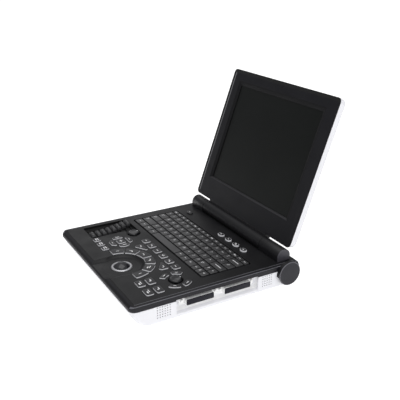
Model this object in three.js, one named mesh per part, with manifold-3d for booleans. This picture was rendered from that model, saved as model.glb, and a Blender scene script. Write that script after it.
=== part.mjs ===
// Portable ultrasound scanner of the clamshell kind: a console with a keyboard and scan controls,
// a display lid on a long hinge barrel, and two probe sockets in the right-hand side.
// Millimetres, +Z up, X to the operator's right, Y away from the operator.
// The console is drawn from its front edge (y = 0) and its flat top face (z = 0); the lid is drawn
// round its hinge axis. The finished model stands on z = 0, centred on its own outline.
import * as THREE from 'three';
import { mergeVertices } from 'three/addons/utils/BufferGeometryUtils.js';
import { ConvexGeometry } from 'three/addons/geometries/ConvexGeometry.js';
import Module from 'manifold-3d';

const wasm = await Module();
wasm.setup();

// ---------------------------------------------------------------- driving dimensions
const GAP = 0.35;                  // clearance between separate pieces
const CONSOLE_W = 370;
const CORNER_R = 12;               // front corners seen from above
const WALL = 2.5;
const TOP_WALL = 2.4;
const SKIRT_Z = -11.3;             // lower edge of the cover's side skirt
const BOTTOM_Z = -47;              // flat underside of the housing
const REAR_Y = 336;                // centre of the round ears and of the hinge axis
const REAR_Z = -16;                // centre and radius of the round rear face
const REAR_R = 28.5;
const EAR_Z = -17.8;               // centre of the end disc and of the hood over it
const EAR_R = 26;
const EAR_LOW = -23;               // lowest point of the hood
const EAR_X = 171;                 // inner face of the hood
const DISC_R = 24.3;
const DISC_OUT = 8.5;              // how far a disc stands out of the side
const FRONT_ROLL_Y = 11;           // depth and height of the rolled front edge
const FRONT_ROLL_Z = 8;

const HINGE_Z = 9.4;
const BARREL_R = 15.2;
const NECK_LEFT = 122;             // ends of the lid's part of the barrel
const NECK_RIGHT = 104;
const SHAFT_R = 4;
const SHAFT_IN = 40;               // length of shaft inside the neck

const LID_LEAN = 19.8;             // degrees behind the vertical, as it stands open
const LID_W = 360;
const LID_H = 302;
const LID_THICK = 19.3;
const LID_FRONT = -3.25;           // bezel face, measured from the hinge axis
const LID_BOTTOM = 21.7;           // lower edge, measured from the hinge axis
const LID_CORNER = 9;
const LID_BACK_R = 8;
const BEZEL_EDGE = 1.5;
const SCREEN_DEPTH = 5;
const SCREEN = { x: 142, low: 48.5, high: 268.5 };   // visible glass, from the lid's lower edge
const BEVEL = { side: 8, low: 4, high: 10 };         // sloped border round the glass

const BALL = { x: 27, y: 52, z: -15, r: 19 };
const DISH_R = 43.5;
const DISH_Z = -5;
const RING_R = 21;
const TRAY = { x0: -170, x1: -113, y0: 45.2, y1: 147.5, z: -6 };
const SLIDERS = 8;
const SLIDER_Y0 = 51.5;
const SLIDER_PITCH = 12.8;
const SLIDER_FRONT_X = -127;     // where the front and the rear slider stand
const SLIDER_REAR_X = -152;
const SLOT = { x0: -160, x1: -122, w: 2.4 };
const GAIN_KNOB = { x: -94, y: 132 };
const MENU_KNOB = { x: 133, y: 115 };
const KNOB_R = 12.3;
const WELL_R = 14.5;
const KNOB_TOP = 4;
const KEY_TOP = 2;                 // control keys above the console's top face
const KEY_FLOOR = -4;              // upper face of the sheet under the control keys

const BOARD = { x0: -156.3, x1: 147.5, y0: 162, unit: 21, row: 19.4, gap: 2.4, top: 1 };
const MEMBRANE_Z = -4;
const SPACE_ROW = 0;
const SPACE_KEY = 4;
// Key widths along each row, front to rear, in key units; the last key fills the row.
const KEY_ROWS = [
  [1.05, 1.05, 1.08, 0.98, 4.97, 0.98, 0.94, 1.25, 0.71, 0.69],
  [2.12, 1, 1, 1, 1, 1, 1, 1, 0.97, 0.97, 0.74, 1.21, 0.69],
  [1.57, 1, 1, 1, 1, 1, 1, 1, 1, 1, 1, 1],
  [1.29, 1, 1, 1, 1, 1, 1, 1, 1, 1, 1, 1, 1],
  [0.8, 1, 1, 1, 1, 1, 1, 1, 1, 1, 1, 1, 1],
];
const FUNCTION_KEYS = 17;
const FUNCTION_ROW_DEPTH = 12.8;

const PROBE = { y0: 89, y1: 262, floor: 173, top: -7.2, low: -38, back: -30 };
const SOCKETS = [{ name: 'front', y: 138.5 }, { name: 'rear', y: 219.5 }];
const SOCKET = { z: -19, body: 58, tall: 10.5, flange: 81, flangeTall: 15 };
const VENTS = [{ y: 51, columns: 6 }, { y: 277, columns: 5 }];
const VENT = { pitch: 5, rows: 5, z: -34, hole: 2.4 };
const FOOT = { x: 150, front: 48, rear: 318, r: 11, drop: 4 };

// ---------------------------------------------------------------- materials
const plastic = (color, roughness = 0.55) =>
  new THREE.MeshStandardMaterial({ color, roughness, metalness: 0 });
const metal = (color, roughness = 0.3) =>
  new THREE.MeshStandardMaterial({ color, roughness, metalness: 1 });
const WHITE = plastic(0xeeeef0, 0.45);
const BLACK = plastic(0x232327);
const DARK = plastic(0x2c2c31, 0.4);
const KEY_GREY = plastic(0x303034, 0.6);
const RUBBER = plastic(0x1b1b1d, 0.85);
const BOARD_GREEN = plastic(0x1e5a35, 0.5);
const GLASS = plastic(0x121413, 0.08);
const PANEL_GREY = metal(0x8a8d90, 0.45);
const STEEL = metal(0xb4b6b8, 0.3);
const ALUMINIUM = metal(0xc4c6c8, 0.35);
const BALL_GREY = plastic(0x3a3a40, 0.2);
const PACK_BLUE = plastic(0x27364f, 0.5);

// ---------------------------------------------------------------- solids
function solidOf(geometry) {
  const bare = geometry.clone();
  for (const name of Object.keys(bare.attributes)) {
    if (name !== 'position') bare.deleteAttribute(name);
  }
  const merged = mergeVertices(bare, 1e-4);
  return new wasm.Manifold(new wasm.Mesh({
    numProp: 3,
    vertProperties: merged.attributes.position.array,
    triVerts: new Uint32Array(merged.index.array),
  }));
}

function meshOf(name, solid, material) {
  const { vertProperties, triVerts } = solid.getMesh();
  const geometry = new THREE.BufferGeometry();
  geometry.setAttribute('position', new THREE.BufferAttribute(vertProperties, 3));
  geometry.setIndex(new THREE.BufferAttribute(triVerts, 1));
  geometry.computeVertexNormals();
  const mesh = new THREE.Mesh(geometry, material);
  mesh.name = name;
  return mesh;
}

const X = new THREE.Vector3(1, 0, 0);
const Y = new THREE.Vector3(0, 1, 0);
const Z = new THREE.Vector3(0, 0, 1);

function extruded(shape, length, segments) {
  return new THREE.ExtrudeGeometry(shape, {
    depth: length, bevelEnabled: false, curveSegments: segments,
  });
}

// A shape in (x, y) made solid from z0 to z1.
function prismZ(shape, z0, z1, segments = 4) {
  return solidOf(extruded(shape, z1 - z0, segments).translate(0, 0, z0));
}

// A shape in (y, z) made solid from x0 to x1.
function prismX(shape, x0, x1, segments = 4) {
  const turn = new THREE.Matrix4().makeBasis(Y, Z, X);
  return solidOf(extruded(shape, x1 - x0, segments).applyMatrix4(turn).translate(x0, 0, 0));
}

// A shape in (x, z) made solid from y0 to y1.
function prismY(shape, y0, y1, segments = 4) {
  const turn = new THREE.Matrix4().makeBasis(X, Z, Y.clone().negate());
  return solidOf(extruded(shape, y1 - y0, segments).applyMatrix4(turn).translate(0, y1, 0));
}

function box(x0, x1, y0, y1, z0, z1) {
  const geometry = new THREE.BoxGeometry(x1 - x0, y1 - y0, z1 - z0);
  return solidOf(geometry.translate((x0 + x1) / 2, (y0 + y1) / 2, (z0 + z1) / 2));
}

function hull(points) {
  return solidOf(new ConvexGeometry(points.map((p) => new THREE.Vector3(...p))));
}

function lathe(profile, x, y, segments = 24) {
  const points = profile.map(([r, z]) => new THREE.Vector2(r, z));
  const geometry = new THREE.LatheGeometry(points, segments);
  return solidOf(geometry.rotateX(Math.PI / 2).translate(x, y, 0));
}

function union(first, ...rest) {
  return rest.reduce((all, next) => all.add(next), first);
}

// ---------------------------------------------------------------- outlines
function circle(cx, cy, r) {
  return new THREE.Shape().absarc(cx, cy, r, 0, 2 * Math.PI);
}

function rect(x0, x1, y0, y1, r = 0) {
  const shape = new THREE.Shape();
  if (r === 0) {
    return shape.moveTo(x0, y0).lineTo(x1, y0).lineTo(x1, y1).lineTo(x0, y1).closePath();
  }
  const quarter = Math.PI / 2;
  shape.absarc(x1 - r, y0 + r, r, -quarter, 0);
  shape.absarc(x1 - r, y1 - r, r, 0, quarter);
  shape.absarc(x0 + r, y1 - r, r, quarter, 2 * quarter);
  shape.absarc(x0 + r, y0 + r, r, 2 * quarter, 3 * quarter);
  return shape.closePath();
}

function oval(cx, cy, w, h) {
  return new THREE.Shape().absellipse(cx, cy, w / 2, h / 2, 0, 2 * Math.PI);
}

// A piece of a ring between two radii and two angles, in degrees.
function sector(centre, r0, r1, a0, a1) {
  const from = THREE.MathUtils.degToRad(a0);
  const to = THREE.MathUtils.degToRad(a1);
  const shape = new THREE.Shape();
  shape.absarc(centre.x, centre.y, r1, from, to);
  shape.absarc(centre.x, centre.y, r0, to, from, true);
  return shape.closePath();
}

// A convex outline, its corners given anticlockwise, with every side moved out by grow.
function grown(corners, grow) {
  const shape = new THREE.Shape();
  const n = corners.length;
  corners.forEach(([x, y], i) => {
    const [ax, ay] = corners[(i + n - 1) % n];
    const [bx, by] = corners[(i + 1) % n];
    const before = new THREE.Vector2(y - ay, ax - x).normalize();
    const after = new THREE.Vector2(by - y, x - bx).normalize();
    const reach = grow / (1 + before.dot(after));
    const point = before.add(after).multiplyScalar(reach).add(new THREE.Vector2(x, y));
    if (i === 0) shape.moveTo(point.x, point.y);
    else shape.lineTo(point.x, point.y);
  });
  return shape.closePath();
}

// The console seen from above, drawn in by inset.
function planOutline(inset) {
  const half = CONSOLE_W / 2 - inset;
  const rear = REAR_Y + REAR_R - inset;
  const r = CORNER_R - inset;
  const shape = new THREE.Shape();
  shape.absarc(half - r, inset + r, r, -Math.PI / 2, 0);
  shape.lineTo(half, rear).lineTo(-half, rear);
  shape.absarc(-half + r, inset + r, r, Math.PI, 1.5 * Math.PI);
  return shape.closePath();
}

// The cover seen from the side, down to the level given.
function coverProfile(inset, low) {
  const shape = new THREE.Shape();
  const rearTop = Math.atan2(-REAR_Z, Math.sqrt(REAR_R ** 2 - REAR_Z ** 2));
  shape.moveTo(inset, low);
  shape.absarc(REAR_Y, REAR_Z, REAR_R - inset, Math.asin((low - REAR_Z) / (REAR_R - inset)),
    rearTop);
  shape.absellipse(FRONT_ROLL_Y, -FRONT_ROLL_Z, FRONT_ROLL_Y - inset, FRONT_ROLL_Z - inset,
    Math.PI / 2, Math.PI);
  return shape.lineTo(inset, low).closePath();
}

// The lower housing seen from the side: a rounded chin, a flat underside and a round rear.
function housingProfile(inset, top) {
  const shape = new THREE.Shape();
  shape.moveTo(3 + inset, top);
  shape.lineTo(4 + inset, -17);
  shape.quadraticCurveTo(11 + inset, BOTTOM_Z + 6 + inset, 36, BOTTOM_Z + inset);
  shape.lineTo(REAR_Y, BOTTOM_Z + inset);
  shape.absellipse(REAR_Y, REAR_Z, REAR_R - inset, REAR_Z - BOTTOM_Z - inset, -Math.PI / 2, 0);
  shape.lineTo(REAR_Y + REAR_R - inset, top);
  return shape.closePath();
}

// The lower housing seen from the front: rounded lower edges.
function housingFront(inset, top) {
  const half = CONSOLE_W / 2 - inset;
  const r = 6;
  const shape = new THREE.Shape();
  shape.moveTo(half, top);
  shape.lineTo(-half, top);
  shape.absarc(-half + r, BOTTOM_Z + inset + r, r, Math.PI, 1.5 * Math.PI);
  shape.absarc(half - r, BOTTOM_Z + inset + r, r, 1.5 * Math.PI, 2 * Math.PI);
  return shape.closePath();
}

// ---------------------------------------------------------------- keys and where they stand
const ARC_KEYS = Array.from({ length: 6 }, (_, i) => ({
  name: `arc_key_${i + 1}`,
  shape: (grow) => sector(BALL, 46.3 - grow, 66 + grow, 1.5 + 30 * i - grow, 28.5 + 30 * i + grow),
}));

const MENU_KEYS = [31, 149, 211, 329].map((middle, i) => ({
  name: `menu_key_${i + 1}`,
  shape: (grow) => sector(MENU_KNOB, 20 - grow, 31 + grow, middle - 22.5 - grow, middle + 22.5 + grow),
}));

const key = (x, y, w, h) => (grow) =>
  rect(x - w / 2 - grow, x + w / 2 + grow, y - h / 2 - grow, y + h / 2 + grow);

// Three-cornered keys that follow the arc keys at a distance.
const WEDGE = [[60.3, 110], [60.3, 123.6], [32.3, 123.6], [32.3, 120.5], [54.5, 106]];

function wedge(side) {
  const corners = WEDGE.map(([x, y]) => [BALL.x + side * x, y]);
  return (grow) => grown(side > 0 ? corners : corners.reverse(), grow);
}

// Five keys of the round cluster: one in the middle and four round it with cut corners.
const CLUSTER = { x: -68, y: 91.3 };
const SIDE_KEY = [[14.6, -10.5], [22, -10.5], [26.6, -5], [26.6, 5], [22, 10.5], [14.6, 10.5]];
const END_KEY = [[-13.5, 14.2], [13.5, 14.2], [13.5, 18], [8, 23.8], [-8, 23.8], [-13.5, 18]];

function clusterKey(corners, sign) {
  return (grow) => grown(corners.map(([x, y]) => [CLUSTER.x + sign * x, CLUSTER.y + sign * y]), grow);
}

const SHEET_KEYS = [
  ...Array.from({ length: 6 }, (_, i) => key(88.8 - 26.4 * i, 138.3, 17, 15.5)),
  ...Array.from({ length: 3 }, (_, i) => key(-53.8 - 22.5 * i, 50, 15.2, 14.5)),
  ...[115.4, 149.9].flatMap((x) => [50.3, 71.3].map((y) => key(x, y, 23, 15))),
  key(CLUSTER.x, CLUSTER.y, 19, 16),
  ...[1, -1].flatMap((sign) => [clusterKey(SIDE_KEY, sign), clusterKey(END_KEY, sign)]),
  wedge(-1),
  wedge(1),
];

const FUNCTION_BUTTONS = Array.from({ length: 4 }, (_, i) => ({
  name: `function_button_${i + 1}`, x: 8.4 + 28.4 * i,
}));
const POWER_BUTTON = { name: 'power_button', x: -130.5 };
const BUTTONS = [...FUNCTION_BUTTONS, POWER_BUTTON];
const BUTTON = { y: 291.8, w: 18, h: 12.5, top: 3 };

// Every keyboard key as its box seen from above; the front row holds the space bar.
function keyboardKeys() {
  const keys = [];
  const half = BOARD.gap / 2;
  KEY_ROWS.forEach((widths, row) => {
    const y0 = BOARD.y0 + row * BOARD.row;
    let x = BOARD.x0;
    [...widths, null].forEach((width, i) => {
      const next = width === null ? BOARD.x1 : x + width * BOARD.unit;
      const space = row === SPACE_ROW && i === SPACE_KEY;
      keys.push({ space, x0: x + half, x1: next - half, y0: y0 + half, y1: y0 + BOARD.row - half });
      x = next;
    });
  });
  const y0 = BOARD.y0 + KEY_ROWS.length * BOARD.row;
  const pitch = (BOARD.x1 - BOARD.x0) / FUNCTION_KEYS;
  for (let i = 0; i < FUNCTION_KEYS; i += 1) {
    const x = BOARD.x0 + i * pitch;
    keys.push({
      space: false, x0: x + half, x1: x + pitch - half,
      y0: y0 + half, y1: y0 + FUNCTION_ROW_DEPTH - half,
    });
  }
  return keys;
}

const OPENING = {
  x0: BOARD.x0 - 1.2, x1: BOARD.x1 + 1.2, y0: BOARD.y0 - 1.5,
  y1: BOARD.y0 + KEY_ROWS.length * BOARD.row + FUNCTION_ROW_DEPTH + 1.5,
};

function sliderPlace(i) {
  const along = (i / (SLIDERS - 1)) ** 1.6;
  return {
    x: SLIDER_FRONT_X + along * (SLIDER_REAR_X - SLIDER_FRONT_X),
    y: SLIDER_Y0 + i * SLIDER_PITCH,
  };
}

// ---------------------------------------------------------------- console cover
function hoodShape(gap, outer) {
  return prismX(circle(REAR_Y, EAR_Z, EAR_R + gap), EAR_X - gap, outer, 12)
    .intersect(box(EAR_X - 1, 250, 0, 500, EAR_LOW - gap, 60));
}

// The black hood over the end disc, at the right rear corner only.
function discHood() {
  return hoodShape(0, CONSOLE_W / 2)
    .subtract(prismX(circle(REAR_Y, EAR_Z, DISC_R + 0.5), 180.7, 200, 12));
}

// Blocks under the top face that the dish, the tray and the knob wells are sunk into.
function sunkBlocks() {
  const dish = prismZ(circle(BALL.x, BALL.y, DISH_R + 1.6), DISH_Z - TOP_WALL, -1, 12);
  const scoop = box(BALL.x - 42, BALL.x + 42, 4, BALL.y, DISH_Z - TOP_WALL, -1);
  const tray = box(TRAY.x0 - 2, TRAY.x1 + 2, TRAY.y0 - 2, TRAY.y1 + 2, TRAY.z - TOP_WALL, -1);
  const gain = prismZ(circle(GAIN_KNOB.x, GAIN_KNOB.y, WELL_R + 1.6), TRAY.z - TOP_WALL, -1, 8);
  const neck = box(TRAY.x1, GAIN_KNOB.x, 120, TRAY.y1 + 2, TRAY.z - TOP_WALL, -1);
  const menu = prismZ(circle(MENU_KNOB.x, MENU_KNOB.y, WELL_R + 1.6), TRAY.z - TOP_WALL, -1, 8);
  const trough = prismX(circle(REAR_Y, HINGE_Z, BARREL_R + 0.8 + TOP_WALL), -NECK_LEFT - 2.5,
    NECK_RIGHT + 2.5, 12).intersect(box(-150, 150, 300, 370, -20, -0.5));
  return union(dish, scoop, tray, gain, neck, menu, trough);
}

function coverCuts() {
  const cuts = [
    prismZ(circle(BALL.x, BALL.y, DISH_R), DISH_Z, 5, 12),
    hull([-38, 38].flatMap((x) => [
      [BALL.x + x, BALL.y, DISH_Z], [BALL.x + x, 24, DISH_Z], [BALL.x + x * 0.92, -2, -2],
      [BALL.x + x, BALL.y, 5], [BALL.x + x, 24, 5], [BALL.x + x * 0.92, -2, 5],
    ])),
    prismZ(circle(BALL.x, BALL.y, RING_R + GAP), -20, 5, 12),
    prismZ(rect(TRAY.x0, TRAY.x1, TRAY.y0, TRAY.y1, 4), TRAY.z, 5, 2),
    prismZ(circle(GAIN_KNOB.x, GAIN_KNOB.y, WELL_R), TRAY.z, 5, 8),
    box(TRAY.x1 - 1, GAIN_KNOB.x, 122, TRAY.y1, TRAY.z, 5),
    prismZ(circle(MENU_KNOB.x, MENU_KNOB.y, WELL_R), TRAY.z, 5, 8),
    prismZ(circle(GAIN_KNOB.x, GAIN_KNOB.y, 3.4), -20, 5, 4),
    prismZ(circle(MENU_KNOB.x, MENU_KNOB.y, 3.4), -20, 5, 4),
    box(OPENING.x0, OPENING.x1, OPENING.y0, OPENING.y1, -20, 5),
    prismX(circle(REAR_Y, HINGE_Z, BARREL_R + 0.8), -NECK_LEFT - GAP, NECK_RIGHT + GAP, 12),
  ];
  for (let i = 0; i < SLIDERS; i += 1) {
    const { y } = sliderPlace(i);
    cuts.push(box(SLOT.x0, SLOT.x1, y - SLOT.w / 2, y + SLOT.w / 2, -20, 5));
  }
  const shapes = [...ARC_KEYS, ...MENU_KEYS].map((k) => k.shape).concat(SHEET_KEYS);
  for (const shape of shapes) cuts.push(prismZ(shape(GAP), -20, 5, 3));
  for (const { x } of BUTTONS) {
    cuts.push(prismZ(oval(x, BUTTON.y, BUTTON.w + 2 * GAP, BUTTON.h + 2 * GAP), -20, 5, 6));
  }
  return cuts;
}

function consoleCover() {
  const outer = prismZ(planOutline(0), SKIRT_Z, 20, 4)
    .intersect(prismX(coverProfile(0, SKIRT_Z), -200, 200, 5));
  const inner = prismZ(planOutline(WALL), -40, -TOP_WALL, 4)
    .intersect(box(-200, 200, 0, 362, -40, -TOP_WALL));
  // the front roll is thick behind, so the inside starts further back there
  const hollow = inner.intersect(box(-200, 200, 6, 357, -40, -TOP_WALL));
  let cover = union(outer.subtract(hollow), sunkBlocks());
  for (const cut of coverCuts()) cover = cover.subtract(cut);
  const notch = box(CONSOLE_W / 2 - 13, 200, PROBE.y0, PROBE.y1, -40, PROBE.top);
  return cover.subtract(notch).subtract(hoodShape(GAP, 200));
}

// ---------------------------------------------------------------- bottom housing
function ventHoles() {
  const holes = [];
  for (const { y, columns } of VENTS) {
    for (let c = 0; c < columns; c += 1) {
      for (let r = 0; r < VENT.rows; r += 1) {
        const hy = y + c * VENT.pitch;
        const hz = VENT.z + r * VENT.pitch;
        const h = VENT.hole / 2;
        holes.push(box(175, 190, hy - h, hy + h, hz - h, hz + h));
      }
    }
  }
  const right = union(...holes);
  return right.add(right.mirror([1, 0, 0]));
}

function probeRecess() {
  const { y0, y1, floor, top, low, back } = PROBE;
  return hull([y0, y1].flatMap((y) => [
    [floor, y, back], [floor, y, top + 5], [190, y, top + 5], [190, y, low - 3],
  ]));
}

function bottomHousing() {
  const top = SKIRT_Z - GAP;
  const outer = prismZ(planOutline(0), -60, top, 4)
    .intersect(prismX(housingProfile(0, top), -200, 200, 4))
    .intersect(prismY(housingFront(0, top), -10, 400, 3));
  const cavity = prismZ(planOutline(WALL), -60, 0, 4)
    .intersect(prismX(housingProfile(WALL, 0), -200, 200, 4))
    .intersect(prismY(housingFront(WALL, 0), -10, 400, 2))
    .subtract(box(168, 200, 304, 400, -60, 10))
    .subtract(box(-200, -168, 304, 400, -60, 10));
  const recessWall = hull([PROBE.y0 - 2, PROBE.y1 + 2].flatMap((y) => [
    [PROBE.floor - 2, y, PROBE.back - 1.5], [PROBE.floor - 2, y, top],
    [184, y, top], [184, y, PROBE.low - 5],
  ]));
  let housing = outer.subtract(cavity).add(recessWall.intersect(outer));
  housing = housing.subtract(probeRecess());
  // windows in the recess floor, one behind each socket
  for (const { y } of SOCKETS) {
    const half = SOCKET.body / 2 + 1;
    housing = housing.subtract(box(160, 180, y - half, y + half, SOCKET.z - 6, SOCKET.z + 6));
  }
  housing = housing.subtract(ventHoles());
  housing = housing.subtract(hoodShape(GAP, 200))
    .subtract(prismX(circle(REAR_Y, EAR_Z, DISC_R + 0.5), 180.7, 200, 12));
  return housing.subtract(box(-62, 62, 355, 370, -37, -17));
}

// ---------------------------------------------------------------- other console pieces
function keyboardTray() {
  const pan = box(OPENING.x0 - 3, OPENING.x1 + 3, OPENING.y0 - 3, OPENING.y1 + 3, -7.5, -2.8);
  return pan.subtract(
    box(OPENING.x0 - 1, OPENING.x1 + 1, OPENING.y0 - 1, OPENING.y1 + 1, -5.6, 0));
}

function keyboardMat() {
  const { x0, x1, y0, y1 } = OPENING;
  let mat = box(x0 - 0.5, x1 + 0.5, y0 - 0.5, y1 + 0.5, MEMBRANE_Z - 1.2, MEMBRANE_Z);
  for (const k of keyboardKeys().filter(({ space }) => !space)) {
    mat = mat.add(box(k.x0, k.x1, k.y0, k.y1, MEMBRANE_Z - 0.5, BOARD.top));
  }
  return mat;
}

function spaceBar() {
  const { x0, x1, y0, y1 } = keyboardKeys().find(({ space }) => space);
  return box(x0, x1, y0, y1, -1.5, BOARD.top);
}

function controlKeySheet() {
  let sheet = box(-106, 168, 41, 150, KEY_FLOOR - 1.2, KEY_FLOOR);
  sheet = sheet.subtract(prismZ(circle(BALL.x, BALL.y, DISH_R + 2.2), -20, 5, 12));
  sheet = sheet.subtract(box(BALL.x - 43, BALL.x + 43, 0, BALL.y, -20, 5));
  sheet = sheet.subtract(prismZ(circle(MENU_KNOB.x, MENU_KNOB.y, WELL_R + 2.2), -20, 5, 8));
  sheet = sheet.subtract(prismZ(circle(GAIN_KNOB.x, GAIN_KNOB.y, WELL_R + 2.2), -20, 5, 8));
  sheet = sheet.subtract(box(-120, GAIN_KNOB.x, 119, 160, -20, 5));
  for (const shape of SHEET_KEYS) {
    sheet = sheet.add(prismZ(shape(0), KEY_FLOOR - 0.5, KEY_TOP, 3));
  }
  return sheet;
}

function trackballRing() {
  return lathe([[15.9, -3.6], [17.9, -7.4], [RING_R, -7.4], [RING_R, -4.2], [18.2, -3],
    [15.9, -3.6]], BALL.x, BALL.y);
}

function trackballSocket() {
  const low = BALL.z - BALL.r - 3.5;
  const cup = prismZ(circle(BALL.x, BALL.y, 24), low, -7.9, 10);
  const hollow = new THREE.SphereGeometry(BALL.r + 0.6, 20, 12).rotateX(Math.PI / 2);
  return cup.subtract(solidOf(hollow.translate(BALL.x, BALL.y, BALL.z)));
}

function trackball() {
  const ball = new THREE.SphereGeometry(BALL.r, 24, 16);
  return solidOf(ball.rotateZ(Math.PI / 2));
}

function slider() {
  const cap = hull([-1, 1].flatMap((s) => [
    [-11, s * 4.7, -4.6], [11, s * 4.7, -4.6], [-11, s * 4.7, 0.5], [11, s * 4.7, 0.5],
    [-9, s * 3, 4], [9, s * 3, 4],
  ]));
  return cap.add(box(-2, 2, -0.8, 0.8, -11.9, -4));
}

function knob() {
  return lathe([[0, -11.9], [3, -11.9], [3, -5.4], [KNOB_R, -5.4], [KNOB_R, KNOB_TOP - 1],
    [KNOB_R - 1, KNOB_TOP], [0, KNOB_TOP]], 0, 0, 20);
}

function tgcBoard() {
  const plate = box(-168, -78, 44, 152, -14, -12.4);
  return plate.add(box(-166, -118, 46, 148, -16.5, -13.5));
}

function mainBoard() {
  const plate = box(-160, 165, 40, 325, -41.2, -39.6);
  const chips = [[-60, 150, 30], [0, 150, 24], [60, 190, 34], [-130, 120, 18], [110, 60, 22]];
  return union(plate, ...chips.map(([x, y, w]) => box(x, x + w, y, y + w, -40, -37.5)));
}

function beamformerBoard() {
  const plate = box(58, 170, 92, 262, -33, -31.4);
  const plugs = SOCKETS.map(({ y }) => box(158, 169.5, y - 27, y + 27, -32, -14));
  const chips = [110, 150, 190, 230].map((y) => box(80, 104, y, y + 24, -32, -29));
  return union(plate, ...plugs, ...chips);
}

function batteryPack() {
  return prismY(rect(-70, 40, -38, -12, 5), 205, 300, 2);
}

const FAN = { y: 288, z: -26.5, x0: -176, x1: -166, half: 14 };

function fanHousing() {
  const { y, z, x0, x1, half } = FAN;
  const frame = box(x0, x1, y - half, y + half, z - half, z + half)
    .subtract(prismX(circle(y, z, 12.6), x0 - 1, x1 + 1, 8));
  const spokes = union(box(x1 - 1.6, x1, y - 13, y + 13, z - 1, z + 1),
    prismX(circle(y, z, 4), x1 - 1.6, x1, 4));
  return frame.add(spokes);
}

function fanRotor() {
  const hub = prismX(circle(0, 0, 5), -4, 3, 6);
  let rotor = hub;
  for (let i = 0; i < 5; i += 1) {
    const blade = box(-3.5, 2.5, 4, 11.8, -0.6, 0.6).rotate([72 * i, 0, 0]);
    rotor = rotor.add(blade);
  }
  return rotor;
}

function heatSink() {
  const base = box(-150, -95, 250, 300, -37.2, -33);
  const fins = Array.from({ length: 7 }, (_, i) => box(-150, -95, 250 + 8 * i, 252 + 8 * i, -34, -16));
  return union(base, ...fins);
}

function probePanel() {
  let panel = box(PROBE.floor + GAP, PROBE.floor + 1.6, 92, 261, SOCKET.z - 9, -8.2);
  for (const { y } of SOCKETS) {
    const half = SOCKET.body / 2 + 0.8;
    panel = panel.subtract(box(160, 190, y - half, y + half, SOCKET.z - 6, SOCKET.z + 6));
  }
  return panel;
}

function probeSocket({ y }) {
  const { z, body, tall, flange, flangeTall } = SOCKET;
  const face = PROBE.floor + 2;
  const flangePlate = box(face, face + 1.6, y - flange / 2, y + flange / 2,
    z - flangeTall / 2, z + flangeTall / 2);
  const shell = prismX(rect(y - body / 2, y + body / 2, z - tall / 2, z + tall / 2, 2.4),
    170.2, 184, 2);
  const mouth = prismX(rect(y - body / 2 + 2, y + body / 2 - 2, z - 3.4, z + 3.4, 1.5),
    178, 190, 2);
  const contacts = box(177, 182, y - body / 2 + 5, y + body / 2 - 5, z - 1.2, z + 1.2);
  const posts = [-1, 1].map((s) =>
    prismX(circle(y + s * 35.5, z, 2.6), face, face + 6, 3));
  return union(flangePlate, shell.subtract(mouth), contacts, ...posts);
}

function rearPortPanel() {
  let panel = box(-61.5, 61.5, 357, 359, -36.6, -17.4);
  const ports = [[-50, 15, 11], [-28, 14, 6], [-10, 14, 6], [12, 17, 9]];
  for (const [x, w, h] of ports) {
    panel = panel.subtract(box(x, x + w, 350, 365, -27 - h / 2, -27 + h / 2));
  }
  return panel.subtract(prismY(circle(46, -27, 4.2), 350, 365, 5));
}

function foot() {
  return lathe([[0, BOTTOM_Z - FOOT.drop], [FOOT.r - 1.2, BOTTOM_Z - FOOT.drop],
    [FOOT.r, BOTTOM_Z - FOOT.drop + 1.2], [FOOT.r, BOTTOM_Z - GAP], [0, BOTTOM_Z - GAP]], 0, 0, 16);
}

function endDisc() {
  const face = CONSOLE_W / 2 + DISC_OUT;
  const disc = prismX(circle(0, 0, DISC_R), 181, face - 1.5, 14);
  return disc.add(prismX(circle(0, 0, DISC_R - 2), 181, face, 14));
}

// The fixed part of the hinge barrel: straight sides on the cover, a round top, a bore.
function hingeKnuckle(neckEnd) {
  const arch = new THREE.Shape();
  arch.moveTo(BARREL_R, GAP - HINGE_Z);
  arch.absarc(0, 0, BARREL_R, 0, Math.PI);
  arch.lineTo(-BARREL_R, GAP - HINGE_Z).closePath();
  return prismX(arch, neckEnd + 0.8, EAR_X - GAP, 8)
    .subtract(prismX(circle(0, 0, SHAFT_R + GAP), 100, 162, 6));
}

function hingeShaft(neckEnd) {
  return prismX(circle(0, 0, SHAFT_R), neckEnd - SHAFT_IN, 161, 6);
}

// ---------------------------------------------------------------- lid, round the hinge axis
const LID_TOP = LID_BOTTOM + LID_H;
const LID_BACK = LID_FRONT + LID_THICK;

function lidOutline(inset) {
  const half = LID_W / 2 - inset;
  return rect(-half, half, LID_BOTTOM + inset, LID_TOP - inset, LID_CORNER - inset);
}

// A slab with the lid's outline and rounded back edges.
function lidBody(inset, front) {
  const back = LID_BACK - inset;
  const r = LID_BACK_R - inset;
  const quarter = Math.PI / 2;
  const side = new THREE.Shape();
  side.moveTo(front, LID_BOTTOM + inset);
  side.absarc(back - r, LID_BOTTOM + inset + r, r, -quarter, 0);
  side.absarc(back - r, LID_TOP - inset - r, r, 0, quarter);
  side.lineTo(front, LID_TOP - inset).closePath();
  const half = LID_W / 2 - inset;
  const plan = new THREE.Shape();
  plan.moveTo(-half, front).lineTo(half, front);
  plan.absarc(half - r, back - r, r, 0, quarter);
  plan.absarc(-half + r, back - r, r, quarter, 2 * quarter);
  plan.closePath();
  return prismY(lidOutline(inset), front, back, 3)
    .intersect(prismX(side, -200, 200, 3))
    .intersect(prismZ(plan, LID_BOTTOM, LID_TOP, 3));
}

function lidBackShell() {
  const front = LID_FRONT + BEZEL_EDGE + GAP;
  return lidBody(0, front)
    .subtract(lidBody(2.2, front - 5))
    .subtract(box(-NECK_LEFT - 0.5, NECK_RIGHT + 0.5, -20, 9.5, 0, LID_BOTTOM + 6));
}

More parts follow.
